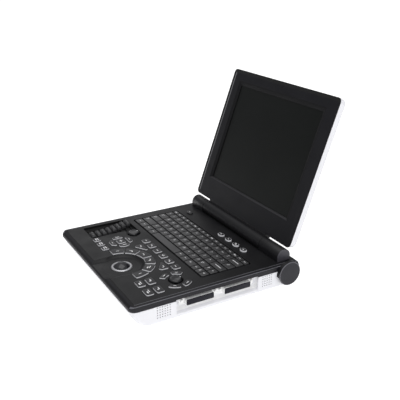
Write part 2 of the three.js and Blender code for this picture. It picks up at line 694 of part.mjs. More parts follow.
function lidBezel() {
  const inner = LID_FRONT + SCREEN_DEPTH - GAP;
  const plate = prismY(lidOutline(0), LID_FRONT, LID_FRONT + BEZEL_EDGE, 3);
  const { x, low, high } = SCREEN;
  const z0 = LID_BOTTOM + low;
  const z1 = LID_BOTTOM + high;
  const frame = box(-x - 14, x + 14, LID_FRONT + 0.5, inner, z0 - 12, z1 + 16);
  const window = hull([[LID_FRONT + 0.7, 1], [LID_FRONT - 1, 1.3], [inner + 0.1, 0]].flatMap(
    ([y, k]) => [
      [-x - k * BEVEL.side, y, z0 - k * BEVEL.low], [x + k * BEVEL.side, y, z0 - k * BEVEL.low],
      [x + k * BEVEL.side, y, z1 + k * BEVEL.high], [-x - k * BEVEL.side, y, z1 + k * BEVEL.high],
    ]));
  const lip = prismY(lidOutline(3), LID_FRONT - 1, LID_FRONT + 0.7, 3);
  return plate.add(frame).subtract(window).subtract(lip);
}

function displayGlass() {
  const { x, low, high } = SCREEN;
  const y = LID_FRONT + SCREEN_DEPTH;
  return box(-x - 8, x + 8, y, y + 1.2, LID_BOTTOM + low - 8, LID_BOTTOM + high + 8);
}

function lcdPanel() {
  const { x, low, high } = SCREEN;
  const y = LID_FRONT + SCREEN_DEPTH + 1.2 + GAP;
  const frame = box(-x - 10, x + 10, y, y + 6, LID_BOTTOM + low - 10, LID_BOTTOM + high + 10);
  return frame.add(box(-60, 60, y + 5, y + 8, LID_BOTTOM + 70, LID_BOTTOM + 110));
}

function lidNeck() {
  const barrel = prismX(circle(0, 0, BARREL_R), -NECK_LEFT, NECK_RIGHT, 10);
  const y0 = LID_FRONT + BEZEL_EDGE + GAP;
  const stem = box(-NECK_LEFT, NECK_RIGHT, y0, 9.2, 0, LID_BOTTOM + 5.6);
  const bore = (end) => prismX(circle(0, 0, SHAFT_R + GAP), end - SHAFT_IN - 1, 130, 6);
  return barrel.add(stem).subtract(bore(NECK_RIGHT)).subtract(mirrored(bore(NECK_LEFT), -1));
}

// ---------------------------------------------------------------- assembly
function place(mesh, x, y, z) {
  mesh.position.set(x, y, z);
  return mesh;
}

function mirrored(solid, side) {
  return side > 0 ? solid : solid.mirror([1, 0, 0]);
}

function buildConsole() {
  const group = new THREE.Group();
  group.add(
    meshOf('bottom_housing', bottomHousing(), WHITE),
    meshOf('console_cover', consoleCover(), BLACK),
    meshOf('keyboard_tray', keyboardTray(), DARK),
    meshOf('keyboard_keys', keyboardMat(), KEY_GREY),
    meshOf('control_key_sheet', controlKeySheet(), KEY_GREY),
    meshOf('main_board', mainBoard(), BOARD_GREEN),
    meshOf('beamformer_board', beamformerBoard(), BOARD_GREEN),
    meshOf('battery_pack', batteryPack(), PACK_BLUE),
    meshOf('fan_housing', fanHousing(), RUBBER),
    meshOf('heat_sink', heatSink(), ALUMINIUM),
    meshOf('trackball_ring', trackballRing(), STEEL),
    meshOf('trackball_socket', trackballSocket(), DARK),
    meshOf('tgc_board', tgcBoard(), BOARD_GREEN),
    meshOf('probe_panel', probePanel(), WHITE),
    meshOf('rear_port_panel', rearPortPanel(), PANEL_GREY),
  );
  for (const socket of SOCKETS) {
    group.add(meshOf(`probe_socket_${socket.name}`, probeSocket(socket), STEEL));
  }
  group.add(
    place(meshOf('end_disc', endDisc(), DARK), 0, REAR_Y, EAR_Z),
    meshOf('disc_hood', discHood(), BLACK),
  );
  for (const [name, side, end] of [['left', -1, NECK_LEFT], ['right', 1, NECK_RIGHT]]) {
    group.add(
      place(meshOf(`hinge_knuckle_${name}`, mirrored(hingeKnuckle(end), side), BLACK),
        0, REAR_Y, HINGE_Z),
      place(meshOf(`hinge_shaft_${name}`, mirrored(hingeShaft(end), side), STEEL),
        0, REAR_Y, HINGE_Z),
      place(meshOf(`foot_front_${name}`, foot(), RUBBER), side * FOOT.x, FOOT.front, 0),
      place(meshOf(`foot_rear_${name}`, foot(), RUBBER), side * FOOT.x, FOOT.rear, 0),
    );
  }
  return group;
}

function buildControls() {
  const group = new THREE.Group();
  group.add(
    place(meshOf('trackball', trackball(), BALL_GREY), BALL.x, BALL.y, BALL.z),
    place(meshOf('gain_knob', knob(), DARK), GAIN_KNOB.x, GAIN_KNOB.y, 0),
    place(meshOf('menu_knob', knob(), DARK), MENU_KNOB.x, MENU_KNOB.y, 0),
    meshOf('space_bar', spaceBar(), KEY_GREY),
    place(meshOf('fan_rotor', fanRotor(), RUBBER), (FAN.x0 + FAN.x1) / 2 - 0.5, FAN.y, FAN.z),
  );
  for (let i = 0; i < SLIDERS; i += 1) {
    const { x, y } = sliderPlace(i);
    group.add(place(meshOf(`tgc_slider_${i + 1}`, slider(), DARK), x, y, 0));
  }
  for (const { name, shape } of [...ARC_KEYS, ...MENU_KEYS]) {
    group.add(meshOf(name, prismZ(shape(0), -2.2, KEY_TOP, 3), KEY_GREY));
  }
  for (const { name, x } of BUTTONS) {
    const cap = prismZ(oval(x, BUTTON.y, BUTTON.w, BUTTON.h), -2.2, BUTTON.top, 6);
    group.add(meshOf(name, cap, DARK));
  }
  return group;
}

function buildLid() {
  const lid = new THREE.Group();
  lid.position.set(0, REAR_Y, HINGE_Z);
  lid.rotation.x = THREE.MathUtils.degToRad(-LID_LEAN);
  lid.add(
    meshOf('lid_back_shell', lidBackShell(), WHITE),
    meshOf('lid_bezel', lidBezel(), BLACK),
    meshOf('display_glass', displayGlass(), GLASS),
    meshOf('lcd_panel', lcdPanel(), PANEL_GREY),
    meshOf('lid_neck', lidNeck(), BLACK),
  );
  return lid;
}

const scanner = new THREE.Group();
scanner.name = 'ultrasound_scanner';
scanner.add(buildConsole(), buildControls(), buildLid());
scanner.updateMatrixWorld(true);
const outline = new THREE.Box3().setFromObject(scanner, true);
const middle = outline.getCenter(new THREE.Vector3());
scanner.position.set(-middle.x, -middle.y, -outline.min.z);
scanner.updateMatrixWorld(true);

export default scanner;
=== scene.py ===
"""Looks of the ultrasound scanner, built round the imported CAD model.

Shapes are worked out in millimetres in two local frames: the console's (y = 0 at its front edge,
z = 0 at its flat top face) and the lid's (s along the lid, d across it, both from the hinge axis).
"""
import math

import bmesh
import bpy
from mathutils import Matrix, Vector


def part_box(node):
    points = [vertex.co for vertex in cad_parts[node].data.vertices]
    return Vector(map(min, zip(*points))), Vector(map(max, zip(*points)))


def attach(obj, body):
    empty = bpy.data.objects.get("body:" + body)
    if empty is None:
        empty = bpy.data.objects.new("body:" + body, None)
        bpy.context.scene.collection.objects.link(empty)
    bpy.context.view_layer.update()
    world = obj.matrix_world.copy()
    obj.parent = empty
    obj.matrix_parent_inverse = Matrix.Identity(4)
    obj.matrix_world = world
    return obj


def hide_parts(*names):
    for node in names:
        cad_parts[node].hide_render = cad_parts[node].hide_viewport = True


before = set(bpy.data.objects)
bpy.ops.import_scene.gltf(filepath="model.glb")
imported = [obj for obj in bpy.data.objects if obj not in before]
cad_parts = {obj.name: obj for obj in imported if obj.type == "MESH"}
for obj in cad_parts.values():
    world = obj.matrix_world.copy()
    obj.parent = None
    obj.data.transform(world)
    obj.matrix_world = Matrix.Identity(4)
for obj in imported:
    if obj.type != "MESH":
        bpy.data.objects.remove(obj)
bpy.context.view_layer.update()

MM = 0.001
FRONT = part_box("console_cover")[0][1] / MM
MIDDLE = (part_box("bottom_housing")[0][0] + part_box("bottom_housing")[1][0]) / 2 / MM
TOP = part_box("keyboard_keys")[1][2] / MM - 1.0  # key tops stand 1 mm above the top face
HINGE_Y, HINGE_Z, LEAN = 336.0, 9.4, math.radians(19.8)
BARREL_R = 15.2
NECK_LEFT, NECK_RIGHT = -122.0, 104.0  # ends of the lid's part of the barrel
DISC_R, DISC_Z = 25.0, -18.3  # round disc at the right rear corner
HOOD_R, HOOD_DROP, HOOD_LOW = 26.0, 1.6, -20.5  # half ring behind and over the disc


# ---- placing points
def console(p):
    """x to the right, y back from the front edge, z up from the flat top face."""
    return Vector((p[0] + MIDDLE, p[1] + FRONT, p[2] + TOP)) * MM


def lid(p):
    """x across, d back from the hinge axis, s up the lid."""
    x, d, s = p
    y = HINGE_Y + s * math.sin(LEAN) + d * math.cos(LEAN)
    z = HINGE_Z + s * math.cos(LEAN) - d * math.sin(LEAN)
    return console((x, y, z))


def upright(x, y):
    """Stands a turned profile on the point (x, y) of the console."""
    return lambda p: (x + p[0], y + p[1], p[2])


def on_hinge_axis(p):
    """Lays a turned profile along the hinge axis, in the console's frame."""
    return p[2], HINGE_Y + p[0], HINGE_Z + p[1]


# ---- outlines, anticlockwise
def fillet(points, r, k=4):
    """The outline with its sharp corners rounded."""
    n = len(points)
    out = []
    for i, p in enumerate(points):
        a, b = Vector(points[i - 1]), Vector(points[(i + 1) % n])
        p = Vector(p)
        u, v = (a - p), (b - p)
        turn = u.angle(-v, 0.0)
        if turn < math.radians(20) or r <= 0:
            out.append(tuple(p))
            continue
        back = walk(points, i, -1, r)
        ahead = walk(points, i, 1, r)
        for j in range(k + 1):
            t = j / k
            q = back * (1 - t) ** 2 + p * 2 * t * (1 - t) + ahead * t ** 2
            out.append(tuple(q))
    return tidy_loop(out, points, r)


def walk(points, i, step, distance):
    """The point at a distance along the outline from corner i."""
    n = len(points)
    here = Vector(points[i])
    left = distance
    j = i
    while True:
        nxt = Vector(points[(j + step) % n])
        length = (nxt - here).length
        if length >= left:
            return here + (nxt - here) * (left / length)
        left -= length
        here = nxt
        j += step


def tidy_loop(out, points, r):
    """Leaves out the old points that a rounded corner has swallowed."""
    corners = []
    n = len(points)
    for i in range(n):
        a, p, b = (Vector(points[(i + d) % n]) for d in (-1, 0, 1))
        if (a - p).angle(-(b - p), 0.0) >= math.radians(20):
            corners.append(p)
    kept = []
    sharp = {tuple(round(c, 5) for c in p) for p in corners}
    old = {tuple(round(c, 5) for c in p) for p in points}
    for q in out:
        key_q = tuple(round(c, 5) for c in q)
        if key_q in old and key_q not in sharp:
            if any((Vector(q) - c).length < r * 1.02 for c in corners):
                continue
        kept.append(q)
    return kept


def rrect(x0, x1, y0, y1, r=0.0, k=5):
    """A rectangle with rounded corners."""
    if r <= 0:
        return [(x0, y0), (x1, y0), (x1, y1), (x0, y1)]
    pts = []
    for cx, cy, a in ((x1 - r, y0 + r, -90), (x1 - r, y1 - r, 0), (x0 + r, y1 - r, 90),
                      (x0 + r, y0 + r, 180)):
        for j in range(k + 1):
            t = math.radians(a + 90 * j / k)
            pts.append((cx + r * math.cos(t), cy + r * math.sin(t)))
    return pts


def ellipse(cx, cy, rx, ry, n=40):
    return [(cx + rx * math.cos(2 * math.pi * i / n), cy + ry * math.sin(2 * math.pi * i / n))
            for i in range(n)]


def bar_profile(r, side, lo, hi):
    """A plain round bar between two distances out from the middle, on one side."""
    return [(r, lo), (r, hi)] if side > 0 else [(r, -hi), (r, -lo)]


def hood_shape(radius, steps=34):
    """A circle cut off flat below, anticlockwise from the right end of the cut."""
    a = math.asin((HOOD_LOW - DISC_Z) / radius)
    return [(radius * math.cos(t), radius * math.sin(t))
            for t in (a + (math.pi - 2 * a) * i / steps for i in range(steps + 1))]


def hood_ring(x, radius):
    """The hood's section at a distance x to the right: an arch with a thin wall."""
    outer = hood_shape(radius)
    inner = hood_shape(min(DISC_R + 0.3, radius - 0.5))
    return [(x, HINGE_Y + u, DISC_Z + v - HOOD_DROP) for u, v in outer + inner[::-1]]


def sector(cx, cy, r0, r1, a0, a1, r=2.0, n=14):
    """A piece of a ring between two radii and two angles in degrees, its corners rounded."""
    pts = []
    for j in range(n + 1):
        t = math.radians(a0 + (a1 - a0) * j / n)
        pts.append((cx + r1 * math.cos(t), cy + r1 * math.sin(t)))
    for j in range(n + 1):
        t = math.radians(a1 + (a0 - a1) * j / n)
        pts.append((cx + r0 * math.cos(t), cy + r0 * math.sin(t)))
    return fillet(pts, r)


def grow(points, d):
    """The outline moved out by d (in, where d is negative)."""
    n = len(points)
    out = []
    for i in range(n):
        a, p, b = (Vector(points[(i + s) % n]) for s in (-1, 0, 1))
        u = (p - a).normalized()
        v = (b - p).normalized()
        nu, nv = Vector((u.y, -u.x)), Vector((v.y, -v.x))
        m = nu + nv
        m = m / max(m.dot(nu), 0.35) if m.length > 1e-6 else nu
        q = p + m * d
        out.append((q.x, q.y))
    return out


# ---- mesh building
class Solid:
    """A mesh in the making: points in millimetres, faces with a material number."""

    def __init__(self):
        self.verts, self.faces, self.mats = [], [], []

    def add(self, verts, faces, mats):
        base = len(self.verts)
        self.verts += [tuple(v) for v in verts]
        self.faces += [tuple(base + i for i in f) for f in faces]
        self.mats += mats

    def loft(self, rings, mat=0, top_mat=None, wrap=False):
        """Joins rings of points, from the lowest up, outlines anticlockwise seen from the end.

        mat is one material number, or one for each strip; wrap joins the last ring to the first.
        """
        n = len(rings[0])
        count = len(rings) if wrap else len(rings) - 1
        strips = list(mat) if isinstance(mat, (list, tuple)) else [mat] * count
        faces, mats = [], []
        for k in range(count):
            a, b = k * n, ((k + 1) % len(rings)) * n
            for i in range(n):
                j = (i + 1) % n
                faces.append((a + i, a + j, b + j, b + i))
                mats.append(strips[k])
        if not wrap:
            last = (len(rings) - 1) * n
            faces.append(tuple(range(n - 1, -1, -1)))
            faces.append(tuple(last + i for i in range(n)))
            mats += [strips[0], strips[-1] if top_mat is None else top_mat]
        self.add([p for ring in rings for p in ring], faces, mats)

    def raise_(self, outline, levels, mat=0, top_mat=None):
        """An outline in (x, y) raised through levels of (z, outward growth)."""
        rings = [[(x, y, z) for x, y in (grow(outline, g) if g else outline)] for z, g in levels]
        self.loft(rings, mat, top_mat=top_mat)

    def along(self, outline, x0, x1, mat=0):
        """An outline in (y, z) drawn out from x0 to x1."""
        self.loft([[(x, y, z) for y, z in outline] for x in (x0, x1)], mat)

    def back(self, outline, y0, y1, mat=0):
        """An outline in (x, z) drawn out from y0 to y1; on the lid, in (x, s) from d0 to d1."""
        self.loft([[(x, y, z) for x, z in outline] for y in (y0, y1)], mat)

    def turned(self, profile, place, n=48, mat=0, closed=False):
        """A profile of (r, h) turned round an axis; place maps (u, v, h) to a point."""
        rings = []
        for r, h in profile:
            rings.append([place((r * math.cos(2 * math.pi * i / n),
                                 r * math.sin(2 * math.pi * i / n), h)) for i in range(n)])
        self.loft(rings, mat, wrap=closed)

    def object(self, name, mats, place=console, smooth=35):
        """The finished mesh, joined, with sharp edges above the angle smooth (degrees)."""
        mesh = bpy.data.meshes.new(name)
        mesh.from_pydata([place(v) for v in self.verts], [], self.faces)
        for m in mats:
            mesh.materials.append(m)
        for poly, m in zip(mesh.polygons, self.mats):
            poly.material_index = m
        bm = bmesh.new()
        bm.from_mesh(mesh)
        bmesh.ops.remove_doubles(bm, verts=bm.verts, dist=1e-7)
        bmesh.ops.recalc_face_normals(bm, faces=bm.faces)
        bm.to_mesh(mesh)
        bm.free()
        obj = bpy.data.objects.new(name, mesh)
        bpy.context.scene.collection.objects.link(obj)
        shade(obj, smooth)
        return obj


def shade(obj, angle=35):
    mesh = obj.data
    mesh.polygons.foreach_set("use_smooth", [True] * len(mesh.polygons))
    mesh.set_sharp_from_angle(angle=math.radians(angle))
    mesh.update()


def bake(obj):
    """Turns the object's modifiers into its own mesh."""
    graph = bpy.context.evaluated_depsgraph_get()
    mesh = bpy.data.meshes.new_from_object(obj.evaluated_get(graph))
    obj.modifiers.clear()
    obj.data = mesh


def cut(obj, solid, mats, place=console, operation="DIFFERENCE"):
    """Takes a solid out of the object; its faces keep their own material numbers."""
    cutter = solid.object("cutter", mats, place=place)
    mod = obj.modifiers.new("cut", "BOOLEAN")
    mod.operation = operation
    mod.object = cutter
    mod.solver = "MANIFOLD"
    bake(obj)
    bpy.data.objects.remove(cutter)


def weigh(obj, smooth):
    """Flat faces keep flat shading beside small rounded ones."""
    shade(obj, smooth)
    mod = obj.modifiers.new("normals", "WEIGHTED_NORMAL")
    mod.keep_sharp = True
    mod.weight = 90
    bake(obj)


# ---- materials
def srgb(*c):
    """A colour given as 0 to 255, in the linear values that shaders take."""
    linear = [v / 255 / 12.92 if v <= 10 else ((v / 255 + 0.055) / 1.055) ** 2.4 for v in c]
    return (*linear, 1)


def shader_node(tree, kind, **inputs):
    """A new node of a kind, with its inputs set."""
    made = tree.nodes.new("ShaderNode" + kind)
    for name, value in inputs.items():
        made.inputs[name.replace("_", " ")].default_value = value
    return made


def material(name, colour, rough, grain=0.35, bump=0.02, vary=0.12, metal=0.0, spec=0.5,
             patch=40.0, rough_vary=0.06):
    """Moulded or metal surface: fine grain in the bump, slow change in colour and roughness."""
    m = bpy.data.materials.new(name)
    m.use_nodes = True
    nt = m.node_tree
    nt.nodes.clear()
    join = nt.links.new
    out = shader_node(nt, "OutputMaterial")
    bsdf = shader_node(nt, "BsdfPrincipled", Metallic=metal, Specular_IOR_Level=spec)
    join(bsdf.outputs["BSDF"], out.inputs["Surface"])
    coord = shader_node(nt, "TexCoord")
    slow = shader_node(nt, "TexNoise", Scale=1000 / patch, Detail=3)
    fine = shader_node(nt, "TexNoise", Scale=1000 / grain, Detail=2)
    for noise in (slow, fine):
        join(coord.outputs["Object"], noise.inputs["Vector"])
    blend, half = shader_node(nt, "Math"), shader_node(nt, "Math")
    blend.operation, half.operation = "MULTIPLY_ADD", "MULTIPLY"
    blend.inputs[1].default_value, half.inputs[1].default_value = 0.45, 0.55
    join(fine.outputs["Fac"], blend.inputs[0])
    join(slow.outputs["Fac"], half.inputs[0])
    join(half.outputs[0], blend.inputs[2])
    ramp = shader_node(nt, "ValToRGB")
    base = Vector(colour[:3])
    for stop, place, tone in zip(ramp.color_ramp.elements, (0.3, 0.7), (1 - vary, 1 + vary)):
        stop.position, stop.color = place, (*(base * tone), 1)
    join(blend.outputs[0], ramp.inputs["Fac"])
    join(ramp.outputs["Color"], bsdf.inputs["Base Color"])
    gloss = shader_node(nt, "MapRange", From_Min=0.3, From_Max=0.7,
                        To_Min=max(rough - rough_vary, 0.02), To_Max=min(rough + rough_vary, 1))
    join(slow.outputs["Fac"], gloss.inputs["Value"])
    join(gloss.outputs["Result"], bsdf.inputs["Roughness"])
    if bump:
        bump_node = shader_node(nt, "Bump", Strength=0.35, Distance=bump * MM)
        join(fine.outputs["Fac"], bump_node.inputs["Height"])
        join(bump_node.outputs["Normal"], bsdf.inputs["Normal"])
    return m


BLACK = material("black_cover_plastic", srgb(17, 17, 19), 0.42, grain=0.5, bump=0.03, spec=0.25)
RIM = material("black_edge_plastic", srgb(14, 13, 21), 0.42, grain=0.5, bump=0.02, spec=0.3)
# Painted shade: a darker black for the walls and floors of wells, holes and recesses.
WELL_SHADE = material("painted_well_shade", srgb(8, 8, 9), 0.6, grain=0.5, bump=0.02, spec=0.3)
BEZEL = material("bezel_plastic", srgb(16, 16, 20), 0.45, grain=0.4, bump=0.02, spec=0.2)
DISC = material("end_disc_plastic", srgb(16, 15, 25), 0.46, grain=0.5, bump=0.02, spec=0.4)
# Painted highlight: the light line inside the lid's lip, on its left side.
GLINT = material("painted_lip_glint", srgb(104, 104, 107), 0.45, grain=0.5, bump=0.01, vary=0.1)
# Painted light: the barrel's end faces in a lighter grey than its black plastic, for the light that
# falls on them.
LIT_END_CAP = material("arch_end_painted_light", srgb(62, 61, 68), 0.45, grain=0.5, bump=0.02)
# Painted highlight: a light grey for thin edges where the light catches them.
EDGE_HIGHLIGHT = material("painted_edge_highlight", srgb(96, 96, 102), 0.4, grain=0.5, bump=0.02, vary=0.2)
BARREL = material("barrel_plastic", srgb(17, 17, 20), 0.45, grain=0.6, bump=0.04, spec=0.3)
BEVEL = material("bevel_plastic", srgb(16, 16, 18), 0.6, grain=0.4, bump=0.01, spec=0.15)
# Painted highlight: a lighter black for the slope below the display that faces the overhead light.
LEDGE_HIGHLIGHT = material("painted_ledge_highlight", srgb(36, 36, 39), 0.55, grain=0.4, bump=0.01, spec=0.25)
WHITE = material("white_housing_plastic", srgb(231, 231, 235), 0.38,
                 grain=0.5, bump=0.015, vary=0.01)
# Painted light: a brighter copy of the white plastic for the recess wall, which lies in the shade
# of the cover's overhang.
LIT_RECESS_WHITE = material("recess_white_painted_light", srgb(249, 249, 250), 0.38,
                     grain=0.5, bump=0.015, vary=0.01)
VENT = material("vent_shadow", srgb(198, 199, 202), 0.7, grain=0.5, bump=0.0)
KEY = material("letter_key_plastic", srgb(37, 37, 39), 0.4, grain=0.3, bump=0.02, spec=0.8)
CONTROL = material("control_key_top", srgb(27, 27, 30), 0.4, grain=0.3, bump=0.02)
SKIRT = material("key_skirt_silver", srgb(214, 214, 218), 0.35, grain=0.4, bump=0.01, vary=0.05)
PRINT = material("key_print", srgb(232, 232, 234), 0.6, grain=0.2, bump=0.0, vary=0.05)
FAINT = material("letter_print", srgb(205, 205, 207), 0.6, grain=0.2, bump=0.0, vary=0.05)
SILVER = material("silver_ring", srgb(186, 186, 189), 0.32,
                  grain=0.3, bump=0.01, vary=0.05, metal=0.85)
STEEL = material("nickel_shell", srgb(214, 214, 212), 0.34,
                 grain=0.4, bump=0.01, vary=0.06, metal=0.45)
NICKEL = material("socket_shell_nickel", srgb(240, 240, 240), 0.36,
                  grain=0.4, bump=0.01, vary=0.04, metal=0.12)
CONTACT = material("connector_block", srgb(13, 12, 25), 0.5, grain=0.4, bump=0.01, spec=0.25)
BALL = material("trackball_resin", srgb(28, 28, 33), 0.2, grain=1.2, bump=0.0, vary=0.25)
SLIDER = material("slider_plastic", srgb(56, 56, 58), 0.38)
KNOB = material("knob_plastic", srgb(24, 24, 27), 0.25, grain=0.4, bump=0.01)
RUBBER = material("foot_rubber", srgb(28, 28, 28), 0.85, grain=0.6, bump=0.08)
SHEET = material("port_panel_metal", srgb(150, 151, 154), 0.45, grain=0.3, bump=0.01, metal=0.8)
GREEN = material("board_mask", srgb(28, 92, 54), 0.45, grain=1.5, bump=0.03, vary=0.25)
FOIL = material("module_frame", srgb(150, 152, 155), 0.4, grain=0.5, bump=0.01, metal=0.7)
WRAP = material("battery_wrap", srgb(40, 58, 92), 0.5, grain=0.6, bump=0.03)
FINS = material("sink_aluminium", srgb(196, 198, 200), 0.35, grain=0.3, bump=0.01, metal=0.9)
GLASS = material("display_glass", srgb(16, 18, 17), 0.32, grain=6, bump=0.0, vary=0.05, spec=0.16,
                 rough_vary=0.02, patch=120)

COVER_MATS = [BLACK, RIM, WELL_SHADE, EDGE_HIGHLIGHT]
HOUSING_MATS = [WHITE, VENT]
BEZEL_MATS = [BEZEL, BEVEL, EDGE_HIGHLIGHT, WELL_SHADE, LEDGE_HIGHLIGHT, GLINT]
KEY_MATS = [CONTROL, SKIRT, PRINT]

# CAD nodes that show as they are get a material of their own.
CAD_PAINT = {
    GREEN: ("main_board", "beamformer_board", "tgc_board"),
    FOIL: ("lcd_panel",),
    WRAP: ("battery_pack",),
    FINS: ("heat_sink",),
    RUBBER: ("fan_housing", "fan_rotor"),
    WELL_SHADE: ("keyboard_tray", "trackball_socket"),
    STEEL: ("hinge_shaft_left", "hinge_shaft_right"),
}
for paint, names in CAD_PAINT.items():
    for node in names:
        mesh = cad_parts[node].data
        mesh.materials.clear()
        mesh.materials.append(paint)


def finish_piece(obj, body, slot, *nodes):
    """Puts a piece on its body and hides the CAD nodes it stands in for; slot is not used."""
    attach(obj, body)
    if nodes:
        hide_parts(*nodes)


# ---- layout (mm)
HALF, CORNER = 185.0, 12.0  # half width and corner radius in plan
REAR_R, REAR_Z = 28.5, -16.0  # the round rear of cover and housing
BALL_X, BALL_Y, BALL_Z, BALL_R = 27.0, 52.0, -15.0, 19.0
TRAY = (-170.0, -113.0, 45.2, 147.5)
GAIN, MENU = (-94.0, 132.0), (133.0, 115.0)
BOARD_X0, BOARD_X1, BOARD_Y = -156.3, 147.5, 162.0  # the field of letter keys
KEY_UNIT, KEY_ROW, KEY_GAP = 21.0, 19.4, 2.4
SMALL_KEYS, SMALL_DEPTH = 17, 12.8  # the rear row of half-deep keys
SMALL_PITCH = (BOARD_X1 - BOARD_X0) / SMALL_KEYS
# Widths of the keys in each row, in units, but for the last, which fills up the row.
ROWS = [
    [1.05, 1.05, 1.08, 0.98, 4.97, 0.98, 0.94, 1.25, 0.71, 0.69],
    [2.12, 1, 1, 1, 1, 1, 1, 1, 0.97, 0.97, 0.74, 1.21, 0.69],
    [1.57] + [1] * 11,
    [1.29] + [1] * 12,
    [0.8] + [1] * 12,
]
# What is printed on each row: letters, digits, or the name of a plain sign.
LEGENDS = [
    ["bar", "bar", "bar", "bar", "", "bar", "bar", "bar", "left", "down", "right"],
    ["bars", "Z", "X", "C", "V", "B", "N", "M", "dot", "dots", "slash", "bars", "up", "dot"],
    ["bars", "A", "S", "D", "F", "G", "H", "J", "K", "L", "dots", "dot", "line"],
    ["bars", "Q", "W", "E", "R", "T", "Y", "U", "I", "O", "P", "dot", "dots", "slash"],
    ["dot", "1", "2", "3", "4", "5", "6", "7", "8", "9", "0", "bar", "dots", "line"],
]


SLIDERS = 8


def slider_place(i):
    """The sliders stand on a gentle curve, as a user would leave them."""
    return -127 + (i / (SLIDERS - 1)) ** 1.6 * -25, 51.5 + 12.8 * i


def letter_keys():
    """(x0, x1, y0, y1, sign, is it the space bar) for every letter key."""
    g = KEY_GAP / 2
    keys = []
    for row, widths in enumerate(ROWS):
        y0 = BOARD_Y + row * KEY_ROW
        x = BOARD_X0
        for i, w in enumerate(widths + [None]):
            nxt = BOARD_X1 if w is None else x + w * KEY_UNIT
            keys.append((x + g, nxt - g, y0 + g, y0 + KEY_ROW - g, LEGENDS[row][i],
                         row == 0 and i == 4))
            x = nxt
    y0 = BOARD_Y + len(ROWS) * KEY_ROW
    for i in range(SMALL_KEYS):
        x = BOARD_X0 + i * SMALL_PITCH
        keys.append((x + g, x + SMALL_PITCH - g, y0 + g, y0 + SMALL_DEPTH - g, "small", False))
    return keys


MENU_ANGLES = (31, 149, 211, 329)
ARC_KEYS = {f"arc_key_{i + 1}": (sector(BALL_X, BALL_Y, 46.3, 66, 1.5 + 30 * i, 28.5 + 30 * i, 2.4),
                                 (BALL_X + 56 * math.cos(math.radians(15 + 30 * i)),
                                  BALL_Y + 56 * math.sin(math.radians(15 + 30 * i))))
            for i in range(6)}
MENU_KEYS = {f"menu_key_{i + 1}": (sector(*MENU, 20, 31, a - 22.5, a + 22.5, 2.0),
                                   (MENU[0] + 25.5 * math.cos(math.radians(a)),
                                    MENU[1] + 25.5 * math.sin(math.radians(a))))
             for i, a in enumerate(MENU_ANGLES)}


def key_at(x, y, w, h):
    """The outline and the middle of a plain control key."""
    return rrect(x - w / 2, x + w / 2, y - h / 2, y + h / 2, 3.2), (x, y)


# Key shapes that come in mirrored pairs, from the middle of what they stand round.
WEDGE = [(60.3, 110), (60.3, 123.6), (32.3, 123.6), (32.3, 120.5), (54.5, 106)]
CLUSTER = (-68.0, 91.3)
SIDE = [(14.6, -10.5), (22, -10.5), (26.6, -5), (26.6, 5), (22, 10.5), (14.6, 10.5)]
END = [(-13.5, 14.2), (13.5, 14.2), (13.5, 18), (8, 23.8), (-8, 23.8), (-13.5, 18)]

SHEET_KEYS = []  # (outline, middle, sign)
for i, sign in enumerate(("bar", "dot_bar", "cross", "bar", "dot_bar", "bar")):
    SHEET_KEYS.append((*key_at(88.8 - 26.4 * i, 138.3, 17, 15.5), sign))
for i in range(3):
    SHEET_KEYS.append((*key_at(-53.8 - 22.5 * i, 50, 15.2, 14.5), "frame_bar"))
for x in (115.4, 149.9):
    for y, sign in ((50.3, "wide_bar"), (71.3, "angle")):
        SHEET_KEYS.append((*key_at(x, y, 23, 15), sign))
SHEET_KEYS.append((*key_at(*CLUSTER, 19, 16), "cross"))
for side in (1, -1):
    for shape, dx, dy, sign in ((SIDE, 20, 0, "stand"), (END, 0, 19, "bar")):
        outline = [(CLUSTER[0] + side * x, CLUSTER[1] + side * y) for x, y in shape]
        SHEET_KEYS.append((fillet(outline, 1.6),
                           (CLUSTER[0] + side * dx, CLUSTER[1] + side * dy), sign))
for side in (1, -1):
    outline = [(BALL_X + side * x, y) for x, y in WEDGE]
    SHEET_KEYS.append((fillet(outline[::side], 1.6), (BALL_X + side * 51, 117), "dot_bar"))

BUTTON_Y, BUTTON_RX, BUTTON_RY = 291.8, 9.0, 6.25
BUTTONS = {f"function_button_{i + 1}": 8.4 + 28.4 * i for i in range(4)}
BUTTONS["power_button"] = -130.5


# ---- printed signs
LETTERS = {}


def letter(char):
    """The raised shape of one letter or digit, 1 high, centred, from 0 to 1 in depth."""
    if char not in LETTERS:
        curve = bpy.data.curves.new("letter", "FONT")
        curve.body = char
        curve.align_x, curve.align_y = "CENTER", "CENTER"
        curve.resolution_u = 2
        curve.extrude = 0.5
        obj = bpy.data.objects.new("letter", curve)
        mesh = bpy.data.meshes.new_from_object(obj)
        LETTERS[char] = ([(v.co.x, v.co.y, v.co.z + 0.5) for v in mesh.vertices],
                         [tuple(p.vertices) for p in mesh.polygons])
        bpy.data.objects.remove(obj)
        bpy.data.curves.remove(curve)
        bpy.data.meshes.remove(mesh)
    return LETTERS[char]


def stroke(solid, cx, cy, z, w, h, mat, angle=0.0):
    """A thin flat bar printed on a face at height z."""
    c, s = math.cos(angle), math.sin(angle)
    corners = []
    for dx, dy in ((-w, -h), (w, -h), (w, h), (-w, h)):
        dx, dy = dx / 2, dy / 2
        corners.append((cx + c * dx - s * dy, cy + s * dx + c * dy))
    rings = [[(x, y, z) for x, y in corners], [(x, y, z + 0.06) for x, y in corners]]
    solid.loft(rings, mat)


